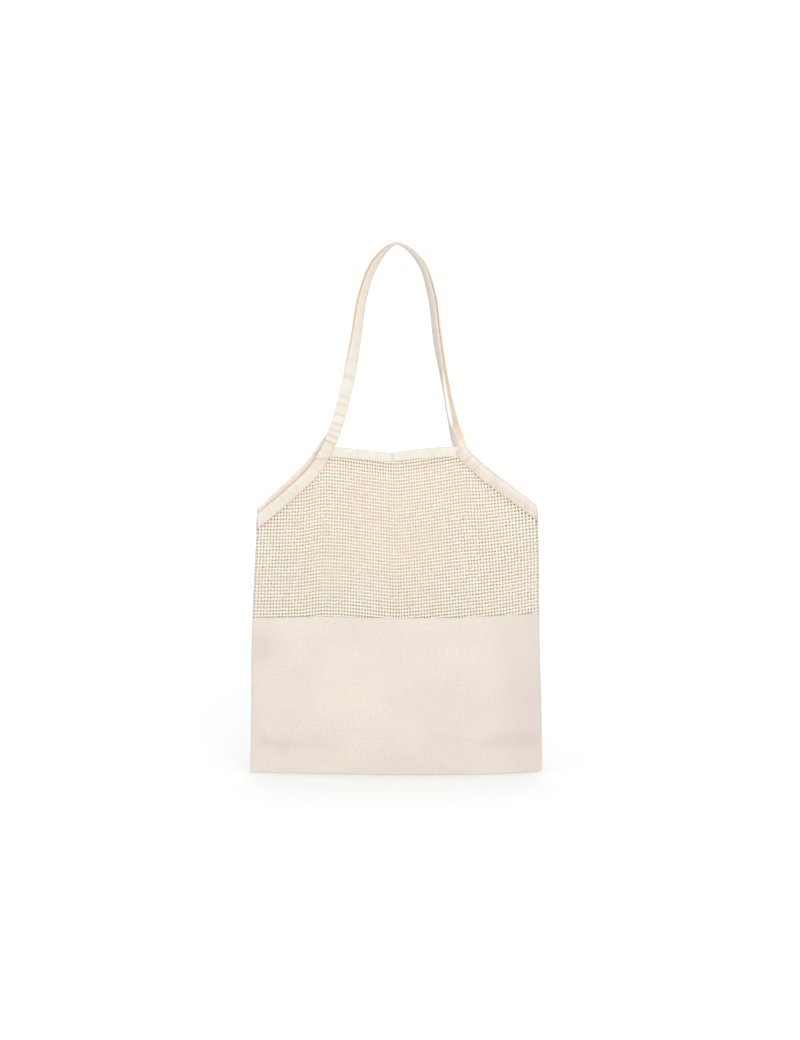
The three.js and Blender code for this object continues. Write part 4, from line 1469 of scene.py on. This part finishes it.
class BAG_OT_stage(bpy.types.Operator):
    """Sets up the camera, the white floor and the soft studio light"""

    bl_idname = "produce_bag.stage"
    bl_label = "Stage"

    def execute(self, context):
        stage = context.scene.bag_stage
        away = Vector((0.0, -math.cos(stage.elevation), math.sin(stage.elevation)))
        lens = bpy.data.cameras.new("camera")
        lens.sensor_width = SENSOR_WIDTH
        lens.lens = SENSOR_WIDTH * stage.distance / stage.view_height
        camera = bpy.data.objects.new("camera", lens)
        camera.location = Vector(CAMERA_TARGET) + away * stage.distance
        camera.rotation_euler = (-away).to_track_quat("-Z", "Y").to_euler()
        context.scene.collection.objects.link(camera)
        context.scene.camera = camera
        self.floor(stage)
        area_light("key light", stage.key_power, *KEY_LIGHT)
        area_light("back light", stage.back_power, *BACK_LIGHT)
        world = bpy.data.worlds.new("studio")
        world.use_nodes = True
        light = world.node_tree.nodes["Background"].inputs
        light["Color"].default_value = (1.0, 1.0, 1.0, 1.0)
        light["Strength"].default_value = stage.sky
        context.scene.world = world
        context.scene.view_settings.view_transform = "Standard"
        return {"FINISHED"}

    def floor(self, stage):
        """A sheet of paper that runs back along the floor and sweeps up behind the bag."""
        level = CAD_LOW.z / MM - stage.floor_gap / MM
        line = [(y, level) for y in np.linspace(PAPER_FRONT, SWEEP_START, PAPER_ROWS)]
        for cos, sin in map(turned, np.linspace(0, 90, SWEEP_ROWS)[1:]):
            line.append((SWEEP_START + SWEEP_RADIUS * sin, level + SWEEP_RADIUS * (1 - cos)))
        line.append((SWEEP_START + SWEEP_RADIUS, level + SWEEP_HEIGHT))
        x = np.linspace(-PAPER_HALF_WIDTH, PAPER_HALF_WIDTH, PAPER_COLUMNS)
        points = [[(at, y, z) for at in x] for y, z in line]
        number = np.arange(len(line) * len(x)).reshape(len(line), len(x))
        paper = new_piece(
            "studio_floor", np.array(points).reshape(-1, 3), grid_faces(number),
            paper_material("studio paper", stage.floor),
        )


class BAG_OT_lower_cloth(bpy.types.Operator):
    """Builds the plain cloth of the lower half"""

    bl_idname = "produce_bag.lower_cloth"
    bl_label = "Lower cloth"

    def execute(self, context):
        cloth, net = context.scene.bag_cloth, context.scene.bag_net
        shell = cloth_shell(0.0)
        middle = shell[:, shell.shape[1] // 2]
        path = run_lengths(middle)[-1] * MM
        pressed = hem_impression((HEM_MARK_PLACE, path - HEM_MARK_PLACE), net.pitch_across, net.pitch_up)
        material = cotton_material(
            "plain cotton cloth", cloth.pale, cloth.deep, cloth.painted_shade, cloth.thread_pitch, CLOTH_STREAK,
            impression=pressed,
        )
        piece = lower_cloth_piece("lower_cloth", cloth.thickness / MM, material)
        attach(piece, "root")
        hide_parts("lower_body")
        return {"FINISHED"}


class BAG_OT_nets(bpy.types.Operator):
    """Builds the front and back nets of the upper half"""

    bl_idname = "produce_bag.nets"
    bl_label = "Nets"

    def execute(self, context):
        net = context.scene.bag_net
        material = net_material("cotton net cord", net.pale, net.deep, net.hole, net.inner)
        tree, keys = netting_tree()
        for label, wall, shift in (("front", FRONT, 0), ("back", BACK, 1)):
            piece = net_base(f"net_{label}_cords", wall, net.pitch_across / MM, net.pitch_up / MM, shift)
            grown(piece, tree, keys, {
                "Hole share": net.hole_share, "Hole shape": (net.hole_width, 1.0, net.hole_height),
                "Hole spread": net.hole_spread, "Corner rounding": net.rounding, "Cord depth": net.cord_depth,
                "Knot depth": net.knot_depth, "Seed": net.seed + shift, "Material": material,
            })
            mark_inner(piece, wall)
            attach(piece, "root")
            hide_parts(f"net_{label}")
        return {"FINISHED"}


class BAG_OT_tapes(bpy.types.Operator):
    """Builds the straps, the top bands and the stitches that hold them"""

    bl_idname = "produce_bag.tapes"
    bl_label = "Tapes and stitches"

    def execute(self, context):
        settings = context.scene.bag_tape
        cotton = cotton_material(
            "cotton tape", settings.pale, settings.deep, settings.painted_shade, settings.thread_pitch, TAPE_STREAK,
            inner=settings.inner,
        )
        thread = thread_material("sewing thread", settings.thread_pale, settings.thread_deep)
        self.stitching = stitching_tree()
        for label, wall, rows, pleats, turn, band in (
            ("front", FRONT, FRONT_TAPE, FRONT_PLEATS, FRONT_TURN, FRONT_BAND),
            ("back", BACK, BACK_TAPE, BACK_PLEATS, BACK_TURN, BACK_BAND),
        ):
            strap = strap_tape(wall, rows, pleats, turn, settings.ply / MM, settings.seed)
            top_band = band_tape(wall, band, settings.seed + 1)
            for kind, tape, flat_width, carried_by in (
                ("strap", strap, 2 * TAPE_WIDTH, ["hang_point"]),
                ("top_band", top_band, 2 * BAND_WIDTH, [f"net_{label}_cords"]),
            ):
                piece = tape_piece(f"{kind}_{label}_tape", tape, -wall.side, cotton)
                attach(piece, "root")
                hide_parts(f"{kind}_{label}")
                stitches = self.stitches(f"{kind}_{label}_stitches", tape, settings, thread)
                tape.lengths()[-1] * MM
        return {"FINISHED"}

    def stitches(self, name, tape, settings, thread):
        """One row of stitches on each face of a tape, beside its open edge."""
        points, outward, edges = [], [], []
        for face in (-1, 1):
            line, normal = tape.seam(settings.stitch_inset / MM, face)
            start = len(points) * len(line)
            points.append(line)
            outward.append(normal)
            edges += [(start + i, start + i + 1) for i in range(len(line) - 1)]
        mesh = bpy.data.meshes.new(name)
        mesh.from_pydata((np.concatenate(points) * MM).tolist(), edges, [])
        values = np.concatenate(outward).astype(np.float32).ravel()
        mesh.attributes.new("outward", "FLOAT_VECTOR", "POINT").data.foreach_set("vector", values)
        row = bpy.data.objects.new(name, mesh)
        bpy.context.scene.collection.objects.link(row)
        tree, keys = self.stitching
        grown(row, tree, keys, {
            "Pitch": settings.stitch_pitch, "Length": settings.stitch_length, "Width": settings.stitch_width,
            "Height": STITCH_HEIGHT * settings.stitch_width, "Unevenness": STITCH_UNEVENNESS,
            "Seed": settings.seed, "Material": thread,
        })
        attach(row, "root")
        return row


class BAG_PT_panel(bpy.types.Panel):
    """Lists the steps that build the bag"""

    bl_idname = "BAG_PT_panel"
    bl_label = "Produce bag"
    bl_space_type = "VIEW_3D"
    bl_region_type = "UI"
    bl_category = "Produce bag"

    def draw(self, context):
        for step in STEPS:
            self.layout.operator(step.bl_idname)
        for name in SETTINGS:
            box = self.layout.box()
            group = getattr(context.scene, name)
            for key in group.__annotations__:
                box.prop(group, key)


STEPS = (BAG_OT_stage, BAG_OT_lower_cloth, BAG_OT_nets, BAG_OT_tapes)
SETTINGS = {
    "bag_stage": StageSettings, "bag_cloth": ClothSettings, "bag_net": NetSettings, "bag_tape": TapeSettings,
}


def register():
    for group in (*SETTINGS.values(), *STEPS, BAG_PT_panel):
        bpy.utils.register_class(group)
    for name, group in SETTINGS.items():
        setattr(bpy.types.Scene, name, PointerProperty(type=group))


def unregister():
    for name in SETTINGS:
        delattr(bpy.types.Scene, name)
    for group in reversed((*SETTINGS.values(), *STEPS, BAG_PT_panel)):
        bpy.utils.unregister_class(group)


def main():
    register()
    bpy.ops.produce_bag.stage()
    bpy.ops.produce_bag.lower_cloth()
    bpy.ops.produce_bag.nets()
    bpy.ops.produce_bag.tapes()


if __name__ == "__main__":
    main()
